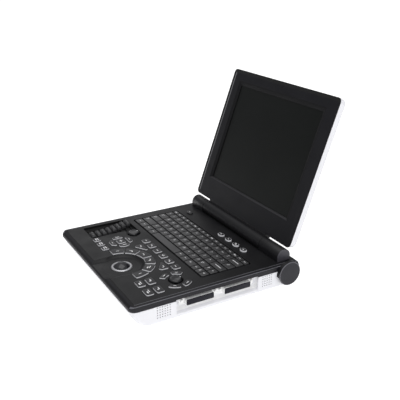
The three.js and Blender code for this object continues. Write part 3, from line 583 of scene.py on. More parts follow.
# Plain signs as strokes of (x, y, width, height, turn in degrees).
STROKES = {
    "bar": [(0, 0, 6, 1.3)],
    "bars": [(-1.5, 1.6, 7, 1.2), (-2.5, -1.6, 5, 1.2)],
    "line": [(0, 0, 20, 1.7)],
    "dot": [(0, 0, 2.2, 2.2)],
    "dots": [(0, 2, 2, 1.6), (0, -2, 2, 1.6)],
    "slash": [(0, 0, 6, 1.2, 60)],
    "small": [(0, 0, 6.5, 2.6)],
    "left": [(0.8, 0, 4.5, 1.1), (-1.3, 0.8, 2.6, 1.1, 45), (-1.3, -0.8, 2.6, 1.1, -45)],
    "right": [(-0.8, 0, 4.5, 1.1), (1.3, 0.8, 2.6, 1.1, -45), (1.3, -0.8, 2.6, 1.1, 45)],
    "up": [(0, -0.8, 1.1, 4.5), (-0.8, 1.3, 2.6, 1.1, 45), (0.8, 1.3, 2.6, 1.1, -45)],
    "down": [(0, 0.8, 1.1, 4.5), (-0.8, -1.3, 2.6, 1.1, -45), (0.8, -1.3, 2.6, 1.1, 45)],
    "cross": [(0, 0, 8, 1.5), (0, 0, 1.5, 6)],
    "dot_bar": [(-1, 0.8, 5.5, 1.5), (3, -1.6, 2.4, 1.8)],
    "angle": [(-2, 1, 7, 1.6), (1.2, -1.4, 2.2, 3)],
    "wide_bar": [(-1.5, 2, 9, 1.6), (2, -1.8, 6.5, 2.4)],
    "frame_bar": [(0, 2.2, 9, 1.7), (0, -2.2, 9, 1.7), (-3.4, 0, 1.7, 3)],
    "stand": [(0, 0, 1.6, 8)],
}


def print_sign(solid, sign, cx, cy, z, mat, size=1.0, angle=0.0):
    if not sign:
        return
    if len(sign) == 1:
        verts, faces = letter(sign)
        k = 7.5 * size
        solid.add([(cx + x * k, cy + y * k, z - 0.02 + 0.08 * h) for x, y, h in verts], faces,
                  [mat] * len(faces))
        return
    c, s = math.cos(angle), math.sin(angle)
    for part in STROKES[sign]:
        dx, dy, w, h = (v * size for v in part[:4])
        turn = math.radians(part[4]) if len(part) > 4 else 0.0
        stroke(solid, cx + c * dx - s * dy, cy + s * dx + c * dy, z, w, h, mat, angle + turn)


# ---- console cover
# (side inset, side z, front inset, front z) from the lower edge to the flat top
SHELL = [
    (0.5, -11.3, 0.5, -11.3), (0.05, -10.9, 0.05, -10.9), (0, -6, 0, -8.2),
    (0, -1.7, 0.35, -6.6), (0.12, -1.2, 1.3, -4.9), (0.5, -0.85, 2.7, -3.4),
    (1.4, -0.68, 4.8, -2.1), (4.0, -0.6, 7.6, -1.1), (7.6, -0.55, 10.4, -0.55),
    (8.1, 0.0, 10.9, 0.0),
]


def shell_ring(a, za, b, zb, k=8):
    """One ring of the cover: side inset a at height za, front inset b at height zb."""
    def rear(z):
        return HINGE_Y + math.sqrt(REAR_R ** 2 - (z - REAR_Z) ** 2)
    right = HALF - a
    cx, cy = HALF - CORNER, CORNER
    rx, ry = max(CORNER - a, 0.4), max(CORNER - b, 0.4)
    pts = [(right, rear(za), za)]
    for j in range(k + 1):
        t = math.pi / 2 * j / k
        mix = math.sin(t) ** 2
        pts.append((cx + rx * math.cos(t), cy - ry * math.sin(t), za * (1 - mix) + zb * mix))
    left = [(-x, y, z) for x, y, z in reversed(pts)]
    return (pts + left)[::-1]


cover = Solid()
# The strips in the highlight colour are painted highlights along the creases of the rim.
cover.loft([shell_ring(*level) for level in SHELL], mat=[1, 1, 1, 1, 3, 3, 1, 0, 3], top_mat=0)
cover_obj = cover.object("cover_shell", COVER_MATS, smooth=32)
# Only the two long sides keep the painted highlight lines along their creases; on the front those
# faces take the rim or top colour.
for face in cover_obj.data.polygons:
    if face.material_index == 3 and abs(face.center.x - MIDDLE * MM) < (HALF - 10) * MM:
        face.material_index = 1 if face.normal.z < 0.6 else 0

inside = Solid()
inside.raise_(rrect(-182, 182, 4, 358, 6), [(-30, 0), (-8.2, 0)], 2)
cut(cover_obj, inside, COVER_MATS)

# The faces these cuts leave take the painted shade colour of the recesses.
# Wells of the keys: (floor, gap round the key); keys that move have deeper ones.
KEY_GAP_ROUND = 0.45
FIXED_FLOOR, MOVING_FLOOR, BUTTON_FLOOR = -2.6, -5.2, -5.4
wells = Solid()
wells.raise_(rrect(-158.6, 149.8, 160.3, 273.4, 4), [(-4.2, 0), (-0.45, 0), (0, 0.4), (4, 3.0)], 2)
for floor, group in ((FIXED_FLOOR, SHEET_KEYS),
                     (MOVING_FLOOR, [*ARC_KEYS.values(), *MENU_KEYS.values()])):
    for outline, *_ in group:
        wells.raise_(grow(outline, KEY_GAP_ROUND), [(floor, 0), (-0.2, 0), (3, 0)], 2)
for x in BUTTONS.values():
    wells.raise_(ellipse(x, BUTTON_Y, BUTTON_RX + 0.5, BUTTON_RY + 0.5),
                 [(BUTTON_FLOOR, 0), (-0.2, 0), (3, 0.3)], 2)
cut(cover_obj, wells, COVER_MATS)

TRAY_LEVELS = [(-6, -1), (-5, 0), (-0.4, 0), (0, 0.4), (4, 3)]
tray = Solid()
tray.raise_(rrect(*TRAY, 4), TRAY_LEVELS, 2)
cut(cover_obj, tray, COVER_MATS)
for (x, y), r in ((GAIN, 15.0), (MENU, 14.5)):
    well = Solid()
    well.raise_(ellipse(x, y, r, r), TRAY_LEVELS, 2)
    cut(cover_obj, well, COVER_MATS)
# The well of the gain knob opens into the slider tray.
neck = Solid()
neck.raise_(rrect(-116, -92, 120.5, 147.45, 0.5), [(-6, 0), (-0.4, 0), (0, 0.4), (4, 3)], 2)
cut(cover_obj, neck, COVER_MATS)

DISH_R = 43.5
dish = Solid()
dish.raise_(ellipse(BALL_X, BALL_Y, DISH_R, DISH_R, 72),
            [(-5, -9), (-4.8, -7), (-4.3, -5), (-3.4, -3), (-2.2, -1.4), (-1.1, -0.3), (-0.4, 0.4),
             (0, 1.4), (3, 6)], 0)
cut(cover_obj, dish, COVER_MATS)


def channel_section(y, half, floor):
    """Half a shallow section that eases up to the top face, seen from the front."""
    pts = []
    for j in range(9):
        t = j / 8
        pts.append((half - 9 + 11 * t, y, floor * (1 - t * t * (3 - 2 * t)) + 0.02 * t))
    pts.append((half + 6, y, 3))
    return pts


def channel_ring(y, half, floor):
    section = channel_section(y, half, floor)
    return ([(BALL_X + x, q, z) for x, q, z in section]
            + [(BALL_X - x, q, z) for x, q, z in reversed(section)])


# The hand rest: the dish runs out over the front edge. Sections are (y, half width, floor).
channel = Solid()
channel.loft([channel_ring(*section) for section in
              ((58, 41.5, -4.9), (30, 41.5, -4.9), (20, 41, -4.6), (11, 40, -3.9),
               (-3, 38.5, -2.6))], 0)
cut(cover_obj, channel, COVER_MATS)

through = [(-20, 0), (4, 0)]
holes = Solid()
holes.raise_(ellipse(BALL_X, BALL_Y, 21.4, 21.4, 64), through, 2)
for x, y in (GAIN, MENU):
    holes.raise_(ellipse(x, y, 3.6, 3.6, 24), through, 2)
for i in range(SLIDERS):
    _, y = slider_place(i)
    holes.raise_(rrect(-160, -122, y - 1.2, y + 1.2, 0), through, 2)
cut(cover_obj, holes, COVER_MATS)

trough = Solid()
trough.turned([(BARREL_R + 0.9, NECK_LEFT - 0.5), (BARREL_R + 0.9, NECK_RIGHT + 0.5)],
              on_hinge_axis, 64, 2)
cut(cover_obj, trough, COVER_MATS)

RECESS_FRONT, RECESS_REAR, RECESS_X = 89.0, 266.4, 173.0  # the bay of the probe sockets
notch = Solid()
notch.along(rrect(RECESS_FRONT - 0.4, RECESS_REAR + 0.4, -20, -8.9, 0), 172, 200, 1)
cut(cover_obj, notch, COVER_MATS)
weigh(cover_obj, 32)
finish_piece(cover_obj, "console", "black_plastic", "console_cover", "keyboard_tray")

hood = Solid()
hood.loft([hood_ring(x, HOOD_R - d)
           for x, d in ((184.6, 0), (190.3, 0), (190.9, 0.25), (191.1, 0.8))], 0)
finish_piece(hood.object("disc_hood_shell", [BLACK], smooth=40), "console", "black_plastic",
             "disc_hood")

# ---- letter keys
KEY_TOP = 1.0
ODD_SMALL_KEYS = (0, 5, 9, 14)
keys = Solid()
bar = Solid()
for x0, x1, y0, y1, sign, space in letter_keys():
    body = bar if space else keys
    body.raise_(rrect(x0, x1, y0, y1, 1.3, 3),
                [(-1.4 if space else -4.6, 0), (0.1, 0), (0.65, -0.2), (0.95, -0.7),
                 (KEY_TOP, -1.1)], 0)
    if sign == "small":
        odd = round((x0 - BOARD_X0) / SMALL_PITCH) in ODD_SMALL_KEYS
        print_sign(body, "small" if odd else "bar", (x0 + x1) / 2, (y0 + y1) / 2, KEY_TOP, 1)
    elif sign == "line":
        print_sign(body, sign, (x0 + x1) / 2, (y0 + y1) / 2, KEY_TOP, 1, min(1.0, (x1 - x0) / 26))
    elif sign:
        print_sign(body, sign, x0 + 0.45 * min(x1 - x0, 19), (y0 + y1) / 2 + 1.2, KEY_TOP, 1)
keys_obj = keys.object("letter_keys", [KEY, FAINT], smooth=30)
finish_piece(keys_obj, "console", "key_grey", "keyboard_keys")
bar_obj = bar.object("space_bar_cap", [KEY, FAINT], smooth=30)
finish_piece(bar_obj, "space_bar", "key_grey", "space_bar")

# ---- control keys
CONTROL_TOP = 2.0
CONTROL_LEVELS = [(-2.5, 0), (1.35, 0), (1.7, -0.2), (1.93, -0.6), (CONTROL_TOP, -1.0)]


def control_key(solid, outline, centre, sign, angle=0.0, size=1.0):
    solid.raise_(outline, CONTROL_LEVELS, [1, 1, 0, 0], top_mat=0)
    print_sign(solid, sign, *centre, CONTROL_TOP, 2, size, angle)


sheet = Solid()
for outline, centre, sign in SHEET_KEYS:
    control_key(sheet, outline, centre, sign)
finish_piece(sheet.object("control_keys", KEY_MATS, smooth=30), "console", "key_grey",
             "control_key_sheet")

ARC_SIGNS = ("bar", "wide_bar", "angle", "dot_bar", "angle", "bar")
MENU_SIGNS = ("stand", "bar", "stand", "bar")
moving = []
for i, name in enumerate(ARC_KEYS):
    moving.append((name, ARC_KEYS[name], ARC_SIGNS[i], 15 + 30 * i - 90, 0.95))
for i, name in enumerate(MENU_KEYS):
    turn = MENU_ANGLES[i] - (0 if i % 2 == 0 else 90)
    moving.append((name, MENU_KEYS[name], MENU_SIGNS[i], turn, 0.9))
for name, (outline, centre), sign, turn, size in moving:
    one = Solid()
    control_key(one, outline, centre, sign, math.radians(turn), size)
    finish_piece(one.object(f"{name}_cap", KEY_MATS, smooth=30), name, "key_grey", name)

BUTTON_TOP = 3.0
BUTTON_SIGNS = ("angle", "dot_bar", "wide_bar", "cross", "bar")
for (name, x), sign in zip(BUTTONS.items(), BUTTON_SIGNS):
    one = Solid()
    one.raise_(ellipse(x, BUTTON_Y, BUTTON_RX, BUTTON_RY, 44),
               [(-2.2, 0), (1.9, 0), (2.4, -0.25), (2.6, -0.8), (2.85, -2.2), (BUTTON_TOP, -4)],
               [1, 1, 1, 0, 0], top_mat=0)
    print_sign(one, sign, x, BUTTON_Y, BUTTON_TOP, 2, 0.75)
    mats = [CONTROL, CONTROL, FAINT] if name == "power_button" else KEY_MATS
    finish_piece(one.object(f"{name}_cap", mats, smooth=30), name, "dark_plastic", name)

# ---- knobs, sliders, trackball
KNOB_PROFILE = [(0.01, -11.9), (3, -11.9), (3, -5.4), (12.3, -5.4), (12.3, 0.6), (12.1, 1.6),
                (11.6, 2.6), (10.7, 3.4), (9.6, 3.8), (8.2, 3.9), (6.4, 3.5), (3.5, 3.15),
                (0.01, 3.05)]
GRIP_R, GRIPS = 12.35, 36
GRIP_SECTION = ((-0.035, 0.99), (-0.02, 1.012), (0.02, 1.012), (0.035, 0.99))


def grip(x, y, a):
    """One upright rib on a knob's side, at the angle a."""
    return [[(x + GRIP_R * math.cos(a + d) * k, y + GRIP_R * math.sin(a + d) * k, z)
             for d, k in GRIP_SECTION] for z in (-4.6, 1.2)]


for name, (x, y) in (("gain_knob", GAIN), ("menu_knob", MENU)):
    one = Solid()
    one.turned(KNOB_PROFILE, upright(x, y), 64, 0)
    for i in range(GRIPS):
        one.loft(grip(x, y, 2 * math.pi * i / GRIPS), 0)
    stroke(one, x, y + 9.2, 3.85, 1.0, 2.6, 1)
    finish_piece(one.object(f"{name}_cap", [KNOB, PRINT], smooth=40), name, "dark_plastic", name)

for i in range(SLIDERS):
    x, y = slider_place(i)
    one = Solid()
    one.raise_(rrect(x - 11, x + 11, y - 4.7, y + 4.7, 1.2, 3),
               [(-4.6, 0), (0.2, 0), (0.9, -0.15), (2.4, -1.0), (3.5, -1.7), (4, -2.4)], 0)
    for dx in (-4.5, -1.5, 1.5, 4.5):
        stroke(one, x + dx, y, 3.95, 0.7, 4.2, 0)
    one.raise_(rrect(x - 2, x + 2, y - 0.8, y + 0.8, 0), [(-11.9, 0), (-4, 0)], 0)
    name = f"tgc_slider_{i + 1}"
    finish_piece(one.object(f"{name}_cap", [SLIDER], smooth=30), name, "dark_plastic", name)

ball = Solid()
steps = 28
angles = [math.pi * k / steps for k in range(steps + 1)]
ball.turned([(max(BALL_R * math.sin(a), 0.01), BALL_Z - BALL_R * math.cos(a)) for a in angles],
            upright(BALL_X, BALL_Y), 64, 0)
finish_piece(ball.object("trackball_sphere", [BALL], smooth=60), "trackball", "ball", "trackball")

ring = Solid()
ring.turned([(15.9, -4.3), (16.6, -7.4), (21, -7.4), (21, -4.6), (20.7, -4.0), (19.8, -3.4),
             (18.4, -3.1), (16.9, -3.2), (16.1, -3.6)],
            upright(BALL_X, BALL_Y), 72, 0, closed=True)
finish_piece(ring.object("trackball_bezel", [SILVER], smooth=50), "console", "steel",
             "trackball_ring")

# ---- lower housing
# The front face as (height, distance back from the front edge).
HOUSING_FRONT = [(-11.65, 3.0), (-17, 3.7), (-24, 5.8), (-30, 8.9), (-36, 13.2), (-41, 18.2),
                 (-44.5, 23.6), (-46.5, 28.6), (-47, 33)]
HOUSING_LEVELS = [-47, -46.7, -45.8, -44.5, -43, -41, -38, -34, -30, -26, -22, -18, -14, -12.1,
                  -11.65]
EDGE_R, EDGE_Z = 6.0, -41.0  # rounding along the bottom of the sides


def housing_front(z):
    for (z0, y0), (z1, y1) in zip(HOUSING_FRONT, HOUSING_FRONT[1:]):
        if z1 <= z <= z0:
            return y0 + (y1 - y0) * (z - z0) / (z1 - z0)
    return HOUSING_FRONT[-1][1]


def housing_side(z):
    """How far in from the full half width the side stands."""
    return 0.0 if z > EDGE_Z else EDGE_R - math.sqrt(max(EDGE_R ** 2 - (EDGE_Z - z) ** 2, 0))


def housing_rear(z):
    """The round rear face, drawn out a little below its middle."""
    drop = max(REAR_Z - z, 0) / 31.05
    return HINGE_Y + REAR_R * math.sqrt(max(1 - drop ** 2, 0))


def housing_ring(z, k=7):
    right, front, rear = HALF - housing_side(z), housing_front(z), housing_rear(z)
    pts = []
    for j in range(k + 1):
        t = math.radians(-90 + 90 * j / k)
        pts.append((right - CORNER + CORNER * math.cos(t), front + CORNER + CORNER * math.sin(t),
                    z))
    for j in range(4):
        t = math.radians(90 * j / 3)
        pts.append((right - 1.5 + 1.5 * math.cos(t), rear - 1.5 + 1.5 * math.sin(t), z))
    return pts + [(-x, y, q) for x, y, q in reversed(pts)]


body = Solid()
body.loft([housing_ring(z) for z in HOUSING_LEVELS], 0)
housing_obj = body.object("housing_shell", HOUSING_MATS, smooth=35)

hollow = Solid()
hollow.raise_(rrect(-180, 180, 31, 332, 4), [(-44.4, 0), (0, 0)], 0)
cut(housing_obj, hollow, HOUSING_MATS)
rear_bay = Solid()
rear_bay.raise_(rrect(-166, 166, 320, 361, 3),
                [(-40, -10.5), (-36, -6), (-30, -2.2), (-24, 0), (0, 0)], 0)
cut(housing_obj, rear_bay, HOUSING_MATS)

recess = Solid()
recess.back([(RECESS_X, -30), (190, -41.5), (190, 0), (RECESS_X, 0)], RECESS_FRONT, RECESS_REAR)
cut(housing_obj, recess, HOUSING_MATS)
# The wall behind the recess, the slope below it, and a plate at each end.
wall = Solid()
wall.back([(184.6, -44), (184.6, -37.85), (RECESS_X, -30), (RECESS_X, -11.7), (171, -11.7),
           (171, -44)], RECESS_FRONT - 1.8, RECESS_REAR + 1.8)
end_plate = rrect(173.1, 180.4, -43, -11.75)[::-1]
wall.back(end_plate, RECESS_REAR, RECESS_REAR + 1.9)
wall.back(end_plate, RECESS_FRONT - 1.9, RECESS_FRONT)

# Two groups of round vent holes in each side: (first row's y, number of columns).
VENT_GROUPS, VENT_PITCH, VENT_R = ((51, 6), (277, 5)), 5, 1.2
vents = Solid()
for lo, hi in ((181.5, 190), (-190, -181.5)):
    for first, columns in VENT_GROUPS:
        for c in range(columns):
            for r in range(5):
                y, z = first + VENT_PITCH * c, -34 + VENT_PITCH * r
                vents.turned([(VENT_R, lo), (VENT_R, hi)],
                             lambda p: (p[2], y + p[0], z + p[1]), 12, 1)
cut(housing_obj, vents, HOUSING_MATS)
port_slot = Solid()
port_slot.back(rrect(-62, 62, -37, -17, 2)[::-1], 354, 372)
cut(housing_obj, port_slot, HOUSING_MATS)
weigh(housing_obj, 35)
finish_piece(housing_obj, "console", "white_plastic", "bottom_housing")
# The recess wall takes the brighter white, painted light against the shade under the overhang.
finish_piece(wall.object("probe_recess_wall", [LIT_RECESS_WHITE], smooth=30), "console", "white_plastic")

panel = Solid()
panel.along(rrect(RECESS_FRONT - 1.4, RECESS_REAR + 1.4, -28, -8.7, 0), 173.35, 174.6)
finish_piece(panel.object("probe_backing_plate", [WHITE], smooth=30), "console", "white_plastic",
             "probe_panel")

# ---- probe sockets
RIBS, RIB_PITCH = 27, 2


def socket_layer(x, y, z, half, tall, r):
    """A rounded upright outline round (y, z), at a distance x to the right."""
    return [(x, u, v) for u, v in rrect(y - half, y + half, z - tall / 2, z + tall / 2, r)]


for name, y in (("front", 137.7), ("rear", 218.7)):
    socket = Solid()
    flange_z, z = -19.0, -19.75
    socket.loft([socket_layer(174.9, y, flange_z, 40.5, 15, 2),
                 socket_layer(176.2, y, flange_z, 40.5, 15, 2),
                 socket_layer(176.6, y, flange_z, 40.1, 14.2, 1.6)], 0)
    socket.loft([socket_layer(175.5, y, z, 29, 12.4, 2.2), socket_layer(185.2, y, z, 29, 12.4, 2.2),
                 socket_layer(185.4, y, z, 28.8, 12.1, 2.1)], 0)
    for i in range(RIBS):
        rib_y = y - RIB_PITCH * (RIBS - 1) / 2 + i * RIB_PITCH
        for rib_z in (z + 6.15, z - 6.15):
            socket.along(rrect(rib_y - 0.45, rib_y + 0.45, rib_z - 0.35, rib_z + 0.35, 0),
                         177, 184.6)
    socket.loft([socket_layer(185, y, z, 28.7, 12, 2), socket_layer(185.8, y, z, 28.7, 12, 2),
                 socket_layer(186, y, z, 28.4, 11.6, 1.9)], 1)
    for end in (-1, 1):
        socket.turned([(2.8, 175), (2.8, 180.5), (2.3, 181.3)],
                      lambda p: (p[2], y + end * 35.5 + p[0], z + 3.2 + p[1]), 24, 0)
    finish_piece(socket.object(f"probe_connector_{name}", [NICKEL, CONTACT], smooth=35), "console",
                 "steel", f"probe_socket_{name}")

# ---- end disc
disc = Solid()
# The two strips round the rim's chamfer take the painted edge highlight.
disc.turned([(0.01, 184.7), (DISC_R - 6, 184.7), (DISC_R - 5.5, 188), (DISC_R - 2.5, 190.8),
             (DISC_R - 0.2, 191.9), (DISC_R, 192.5), (DISC_R - 0.3, 193.1), (DISC_R - 1.1, 193.45),
             (DISC_R - 1.6, 193.5), (DISC_R - 1.9, 193.3), (0.01, 193.3)],
            lambda p: (p[2], HINGE_Y + p[0], DISC_Z + p[1]), 96, [0, 0, 0, 0, 0, 0, 1, 1, 0, 0])
finish_piece(disc.object("end_cap", [DISC, EDGE_HIGHLIGHT], smooth=28), "console", "dark_plastic", "end_disc")

# ---- hinge barrel
BORE_R = 4.35  # room for a hinge shaft
ARCH_FOOT = 0.05 - HINGE_Z


def arch_ring(side, x, r):
    """The section of a fixed part of the barrel: a half round on upright sides."""
    shape = [(r, ARCH_FOOT)] + [(r * math.cos(math.radians(a)), r * math.sin(math.radians(a)))
                                for a in range(0, 181, 5)] + [(-r, ARCH_FOOT)]
    pts = [on_hinge_axis((u, v, side * x)) for u, v in shape]
    return pts if side > 0 else pts[::-1]


for name, side, end in (("left", -1, -NECK_LEFT), ("right", 1, NECK_RIGHT)):
    arch = Solid()
    # The end face and its rounded edge take the lighter painted-light grey.
    arch.loft([arch_ring(side, end + 0.8, BARREL_R - 0.7), arch_ring(side, end + 1.5, BARREL_R),
               arch_ring(side, 169.9, BARREL_R), arch_ring(side, 170.65, BARREL_R - 0.6)],
              [0, 0, 1], top_mat=1)
    arch_obj = arch.object(f"knuckle_{name}", [BARREL, LIT_END_CAP], smooth=40)
    bore = Solid()
    bore.turned(bar_profile(BORE_R, side, 90, 162), on_hinge_axis, 32, 0)
    cut(arch_obj, bore, [BARREL, LIT_END_CAP])
    shade(arch_obj, 40)
    finish_piece(arch_obj, "console", "black_plastic", f"hinge_knuckle_{name}")


def on_lid_axis(p):
    """Lays a turned profile along the hinge axis, in the lid's frame."""
    return p[2], p[0], p[1]


neck = Solid()
neck.turned([(BARREL_R - 0.6, NECK_LEFT), (BARREL_R, NECK_LEFT + 0.6), (BARREL_R, NECK_RIGHT - 0.6),
             (BARREL_R - 0.6, NECK_RIGHT)], on_lid_axis, 72, 0)
neck_obj = neck.object("lid_barrel", [BARREL], place=lid, smooth=40)
stem = Solid()
stem.back(rrect(NECK_LEFT, NECK_RIGHT, 5, 27.2, 0.5), 9.1, -1.3)
cut(neck_obj, stem, [BARREL], lid, "UNION")
for side, end in ((1, NECK_RIGHT), (-1, -NECK_LEFT)):
    bore = Solid()
    bore.turned(bar_profile(BORE_R, side, end - 41, 140), on_lid_axis, 32, 0)
    cut(neck_obj, bore, [BARREL], lid)
shade(neck_obj, 40)
finish_piece(neck_obj, "lid", "black_plastic", "lid_neck")

# ---- lid
LID_BOTTOM, LID_H, LID_HALF = 21.7, 302.0, 180.0
LID_TOP = LID_BOTTOM + LID_H
LID_EDGE = LID_BOTTOM - 1.9  # the real lower edge
FACE, THICK = -3.25, 19.3  # depth of the bezel's face; thickness


def lid_ring(d, inset, r=9.0):
    outline = rrect(-LID_HALF + inset, LID_HALF - inset, LID_EDGE + inset, LID_TOP - inset,
                    max(r - inset, 0.8), 8)
    return [(x, d, s) for x, s in outline]


bezel = Solid()
bezel.loft([lid_ring(FACE + 1.5, 0), lid_ring(FACE + 0.5, 0), lid_ring(FACE + 0.12, 0.18),
            lid_ring(FACE, 0.55), lid_ring(FACE, 7.4), lid_ring(FACE + 0.4, 9.6)],
           [3, 3, 3, 3, 5], top_mat=0)
bezel_obj = bezel.object("bezel_frame", BEZEL_MATS, place=lid, smooth=30)
# The lip keeps its painted shade only on the left and the top, and the painted highlight line
# inside it only on the left; elsewhere both take the bezel's colour.
for face in bezel_obj.data.polygons:
    on_left = face.center.x < (MIDDLE - LID_HALF + 12) * MM
    on_top = face.center.z > lid((0, FACE, LID_TOP - 10)).z
    line, lip = face.material_index == 5, face.material_index == 3
    if line and not on_left or lip and not (on_left or on_top):
        face.material_index = 0
back_block = Solid()
back_block.back(rrect(-156, 156, LID_BOTTOM + 36, LID_BOTTOM + 284, 2), FACE + 4.6, FACE + 0.6)
cut(bezel_obj, back_block, BEZEL_MATS, lid, "UNION")

OPEN_HALF, OPEN_LOW, OPEN_HIGH = 142.0, LID_BOTTOM + 48.5, LID_BOTTOM + 268.5


def opening(d, side, low, high, r):
    """The display opening at a depth, widened at the sides, below and above."""
    outline = rrect(-OPEN_HALF - side, OPEN_HALF + side, OPEN_LOW - low, OPEN_HIGH + high, r, 4)
    return [(x, d, s) for x, s in outline]


window = Solid()
window.loft([opening(FACE + 6, 0, 0, 0, 1.0), opening(FACE + 3.6, 0, 0, 0, 1.0),
             opening(FACE + 0.35, 7.6, 3.5, 9.6, 2.2), opening(FACE - 0.02, 8.3, 4.2, 10.4, 2.6),
             opening(FACE - 2, 9, 5, 11, 3)], 1)
cut(bezel_obj, window, BEZEL_MATS, lid)
dimple = Solid()
dimple.turned([(1.6, FACE + 0.8), (1.6, FACE - 1)],
              lambda p: (2.5 + p[0], p[2], LID_BOTTOM + 290 + p[1]), 24, 1)
cut(bezel_obj, dimple, BEZEL_MATS, lid)
# The slope below the display faces up and takes a lighter colour, a painted highlight of the light
# that falls on it.
for face in bezel_obj.data.polygons:
    if face.material_index == 1 and face.normal.z > 0.8:
        face.material_index = 4
weigh(bezel_obj, 30)
finish_piece(bezel_obj, "lid", "black_plastic", "lid_bezel")

glass = Solid()
glass.back(rrect(-150, 150, LID_BOTTOM + 40.5, LID_BOTTOM + 276.5, 1), FACE + 6.2, FACE + 5.0)
finish_piece(glass.object("display_pane", [GLASS], place=lid, smooth=30), "lid", "display_glass",
             "display_glass")

FRONT_D, BACK_D, BACK_R, SHELL_R = FACE + 1.85, FACE + THICK, 8, 13
rings = [lid_ring(FRONT_D, 0, SHELL_R)]
for j in range(9):
    t = math.radians(90 * j / 8)
    rings.append(lid_ring(BACK_D - BACK_R + BACK_R * math.sin(t), BACK_R - BACK_R * math.cos(t),
                          SHELL_R))
back = Solid()
back.loft(rings[::-1], 0)
back_obj = back.object("lid_shell", [WHITE], place=lid, smooth=40)
cave = Solid()
cave.back(rrect(-176, 176, LID_BOTTOM + 2, LID_TOP - 4, 10), BACK_D - 3.5, FRONT_D - 3)
cut(back_obj, cave, [WHITE], lid)
notch = Solid()
notch.back(rrect(NECK_LEFT - 0.5, NECK_RIGHT + 0.5, LID_BOTTOM - 3, LID_BOTTOM + 6),
           9.5, FRONT_D - 3)
cut(back_obj, notch, [WHITE], lid)
weigh(back_obj, 40)
finish_piece(back_obj, "lid", "white_plastic", "lid_back_shell")

# ---- feet and rear ports
for end, y in (("front", 48.0), ("rear", 318.0)):
    for name, side in (("left", -1), ("right", 1)):
        foot = Solid()
        foot.turned([(0.01, -51), (9.6, -51), (10.5, -50.6), (10.9, -49.9), (11, -47.35),
                     (0.01, -47.35)], upright(side * 150, y), 48, 0)
        finish_piece(foot.object(f"rubber_foot_{end}_{name}", [RUBBER], smooth=40), "console",
                     "rubber", f"foot_{end}_{name}")

# The rear plate: four square sockets, each (left edge, width, height), and a round power inlet.
PORT_Z, SQUARE_PORTS = -27, ((-50, 15, 11), (-28, 14, 6), (-10, 14, 6), (12, 17, 9))
port_shapes = [rrect(x, x + w, PORT_Z - h / 2, PORT_Z + h / 2, 0.6) for x, w, h in SQUARE_PORTS]
port_shapes.append(ellipse(46, PORT_Z, 4.2, 4.2, 32))
ports = Solid()
ports.back(rrect(-61.5, 61.5, -36.6, -17.4, 1), 359, 357)
ports_obj = ports.object("port_plate", [SHEET, WELL_SHADE], smooth=30)
gaps = Solid()
for shape in port_shapes:
    gaps.back(shape, 365, 350, 1)
cut(ports_obj, gaps, [SHEET, WELL_SHADE])
finish_piece(ports_obj, "console", "panel_metal", "rear_port_panel")

# ---- floor, light, camera
FLOOR = 30.0
floor_mesh = bpy.data.meshes.new("floor")
floor_mesh.from_pydata([(x, y, 0) for x, y in rrect(-FLOOR, FLOOR, -FLOOR, FLOOR)], [],
                       [(0, 1, 2, 3)])
floor_obj = bpy.data.objects.new("floor", floor_mesh)
bpy.context.scene.collection.objects.link(floor_obj)
floor_mat = material("floor_paint", (0.5, 0.5, 0.5, 1), 0.9, grain=4, bump=0.0, vary=0.01,
                     patch=400, spec=0.1)
glow = floor_mat.node_tree.nodes["Principled BSDF"]
glow.inputs["Emission Color"].default_value = (1, 1, 1, 1)
glow.inputs["Emission Strength"].default_value = 0.82
floor_mesh.materials.append(floor_mat)

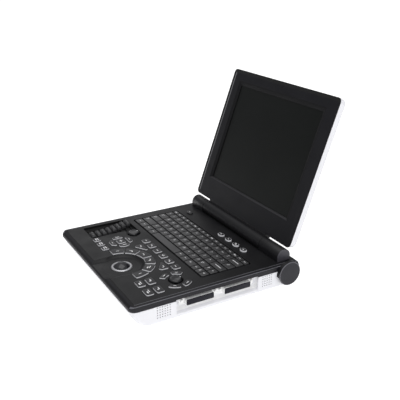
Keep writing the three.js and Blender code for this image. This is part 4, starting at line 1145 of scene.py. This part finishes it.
world = bpy.data.worlds.new("studio")
bpy.context.scene.world = world
world.use_nodes = True
wt = world.node_tree
wt.nodes.clear()
w_out, w_bg, w_coord, w_sep, w_ramp = (
    shader_node(wt, kind)
    for kind in ("OutputWorld", "Background", "TexCoord", "SeparateXYZ", "ValToRGB"))
stops = w_ramp.color_ramp.elements
stops[0].position, stops[0].color = 0.0, (0.22, 0.22, 0.23, 1)
stops[1].position, stops[1].color = 0.95, (0.75, 0.75, 0.75, 1)
middle = stops.new(0.35)
middle.color = (0.3, 0.3, 0.31, 1)
wt.links.new(w_coord.outputs["Generated"], w_sep.inputs["Vector"])
wt.links.new(w_sep.outputs["Z"], w_ramp.inputs["Fac"])
wt.links.new(w_ramp.outputs["Color"], w_bg.inputs["Color"])
wt.links.new(w_bg.outputs["Background"], w_out.inputs["Surface"])


def area(name, place, target, size, power):
    """A soft rectangular light in metres and watts, turned to its target."""
    light = bpy.data.lights.new(name, "AREA")
    light.shape = "RECTANGLE"
    light.size, light.size_y = size
    light.energy = power
    obj = bpy.data.objects.new(name, light)
    obj.location = place
    obj.rotation_euler = (Vector(place) - Vector(target)).to_track_quat("Z", "Y").to_euler()
    bpy.context.scene.collection.objects.link(obj)


area("overhead", (0.2, -0.3, 2.6), (0, 0, 0), (2.6, 2.6), 34)
area("right_side", (2.4, -0.6, 0.9), (0.1, 0, 0.05), (1.6, 1.2), 14.5)
area("rear_left", (-2.4, 0.75, 1.15), (-0.05, -0.05, 0.05), (0.9, 0.9), 1.8)

# The camera looks at a point on the console, from the right and a little above.
AZIMUTH, ELEVATION, ROLL, DISTANCE = 1.0456, 0.382, 0.004, 1171.46
TARGET = Vector((96.62, 187.58, 132.77))
toward = Vector((math.sin(AZIMUTH) * math.cos(ELEVATION), -math.cos(AZIMUTH) * math.cos(ELEVATION),
                 math.sin(ELEVATION)))
level = (-toward).cross(Vector((0, 0, 1))).normalized()
over = level.cross(-toward)
right = level * math.cos(ROLL) + over * math.sin(ROLL)
upward = -level * math.sin(ROLL) + over * math.cos(ROLL)
eye = console(TARGET + toward * DISTANCE)
cam = bpy.data.cameras.new("camera")
cam.lens = 56.05
cam.sensor_width = 36
cam.sensor_fit = "HORIZONTAL"
cam.clip_end = 100
cam_obj = bpy.data.objects.new("camera", cam)
basis = Matrix((right, upward, toward)).transposed().to_4x4()
cam_obj.matrix_world = Matrix.Translation(eye) @ basis
bpy.context.scene.collection.objects.link(cam_obj)
bpy.context.scene.camera = cam_obj
bpy.context.scene.view_settings.view_transform = "Standard"

bpy.context.view_layer.update()
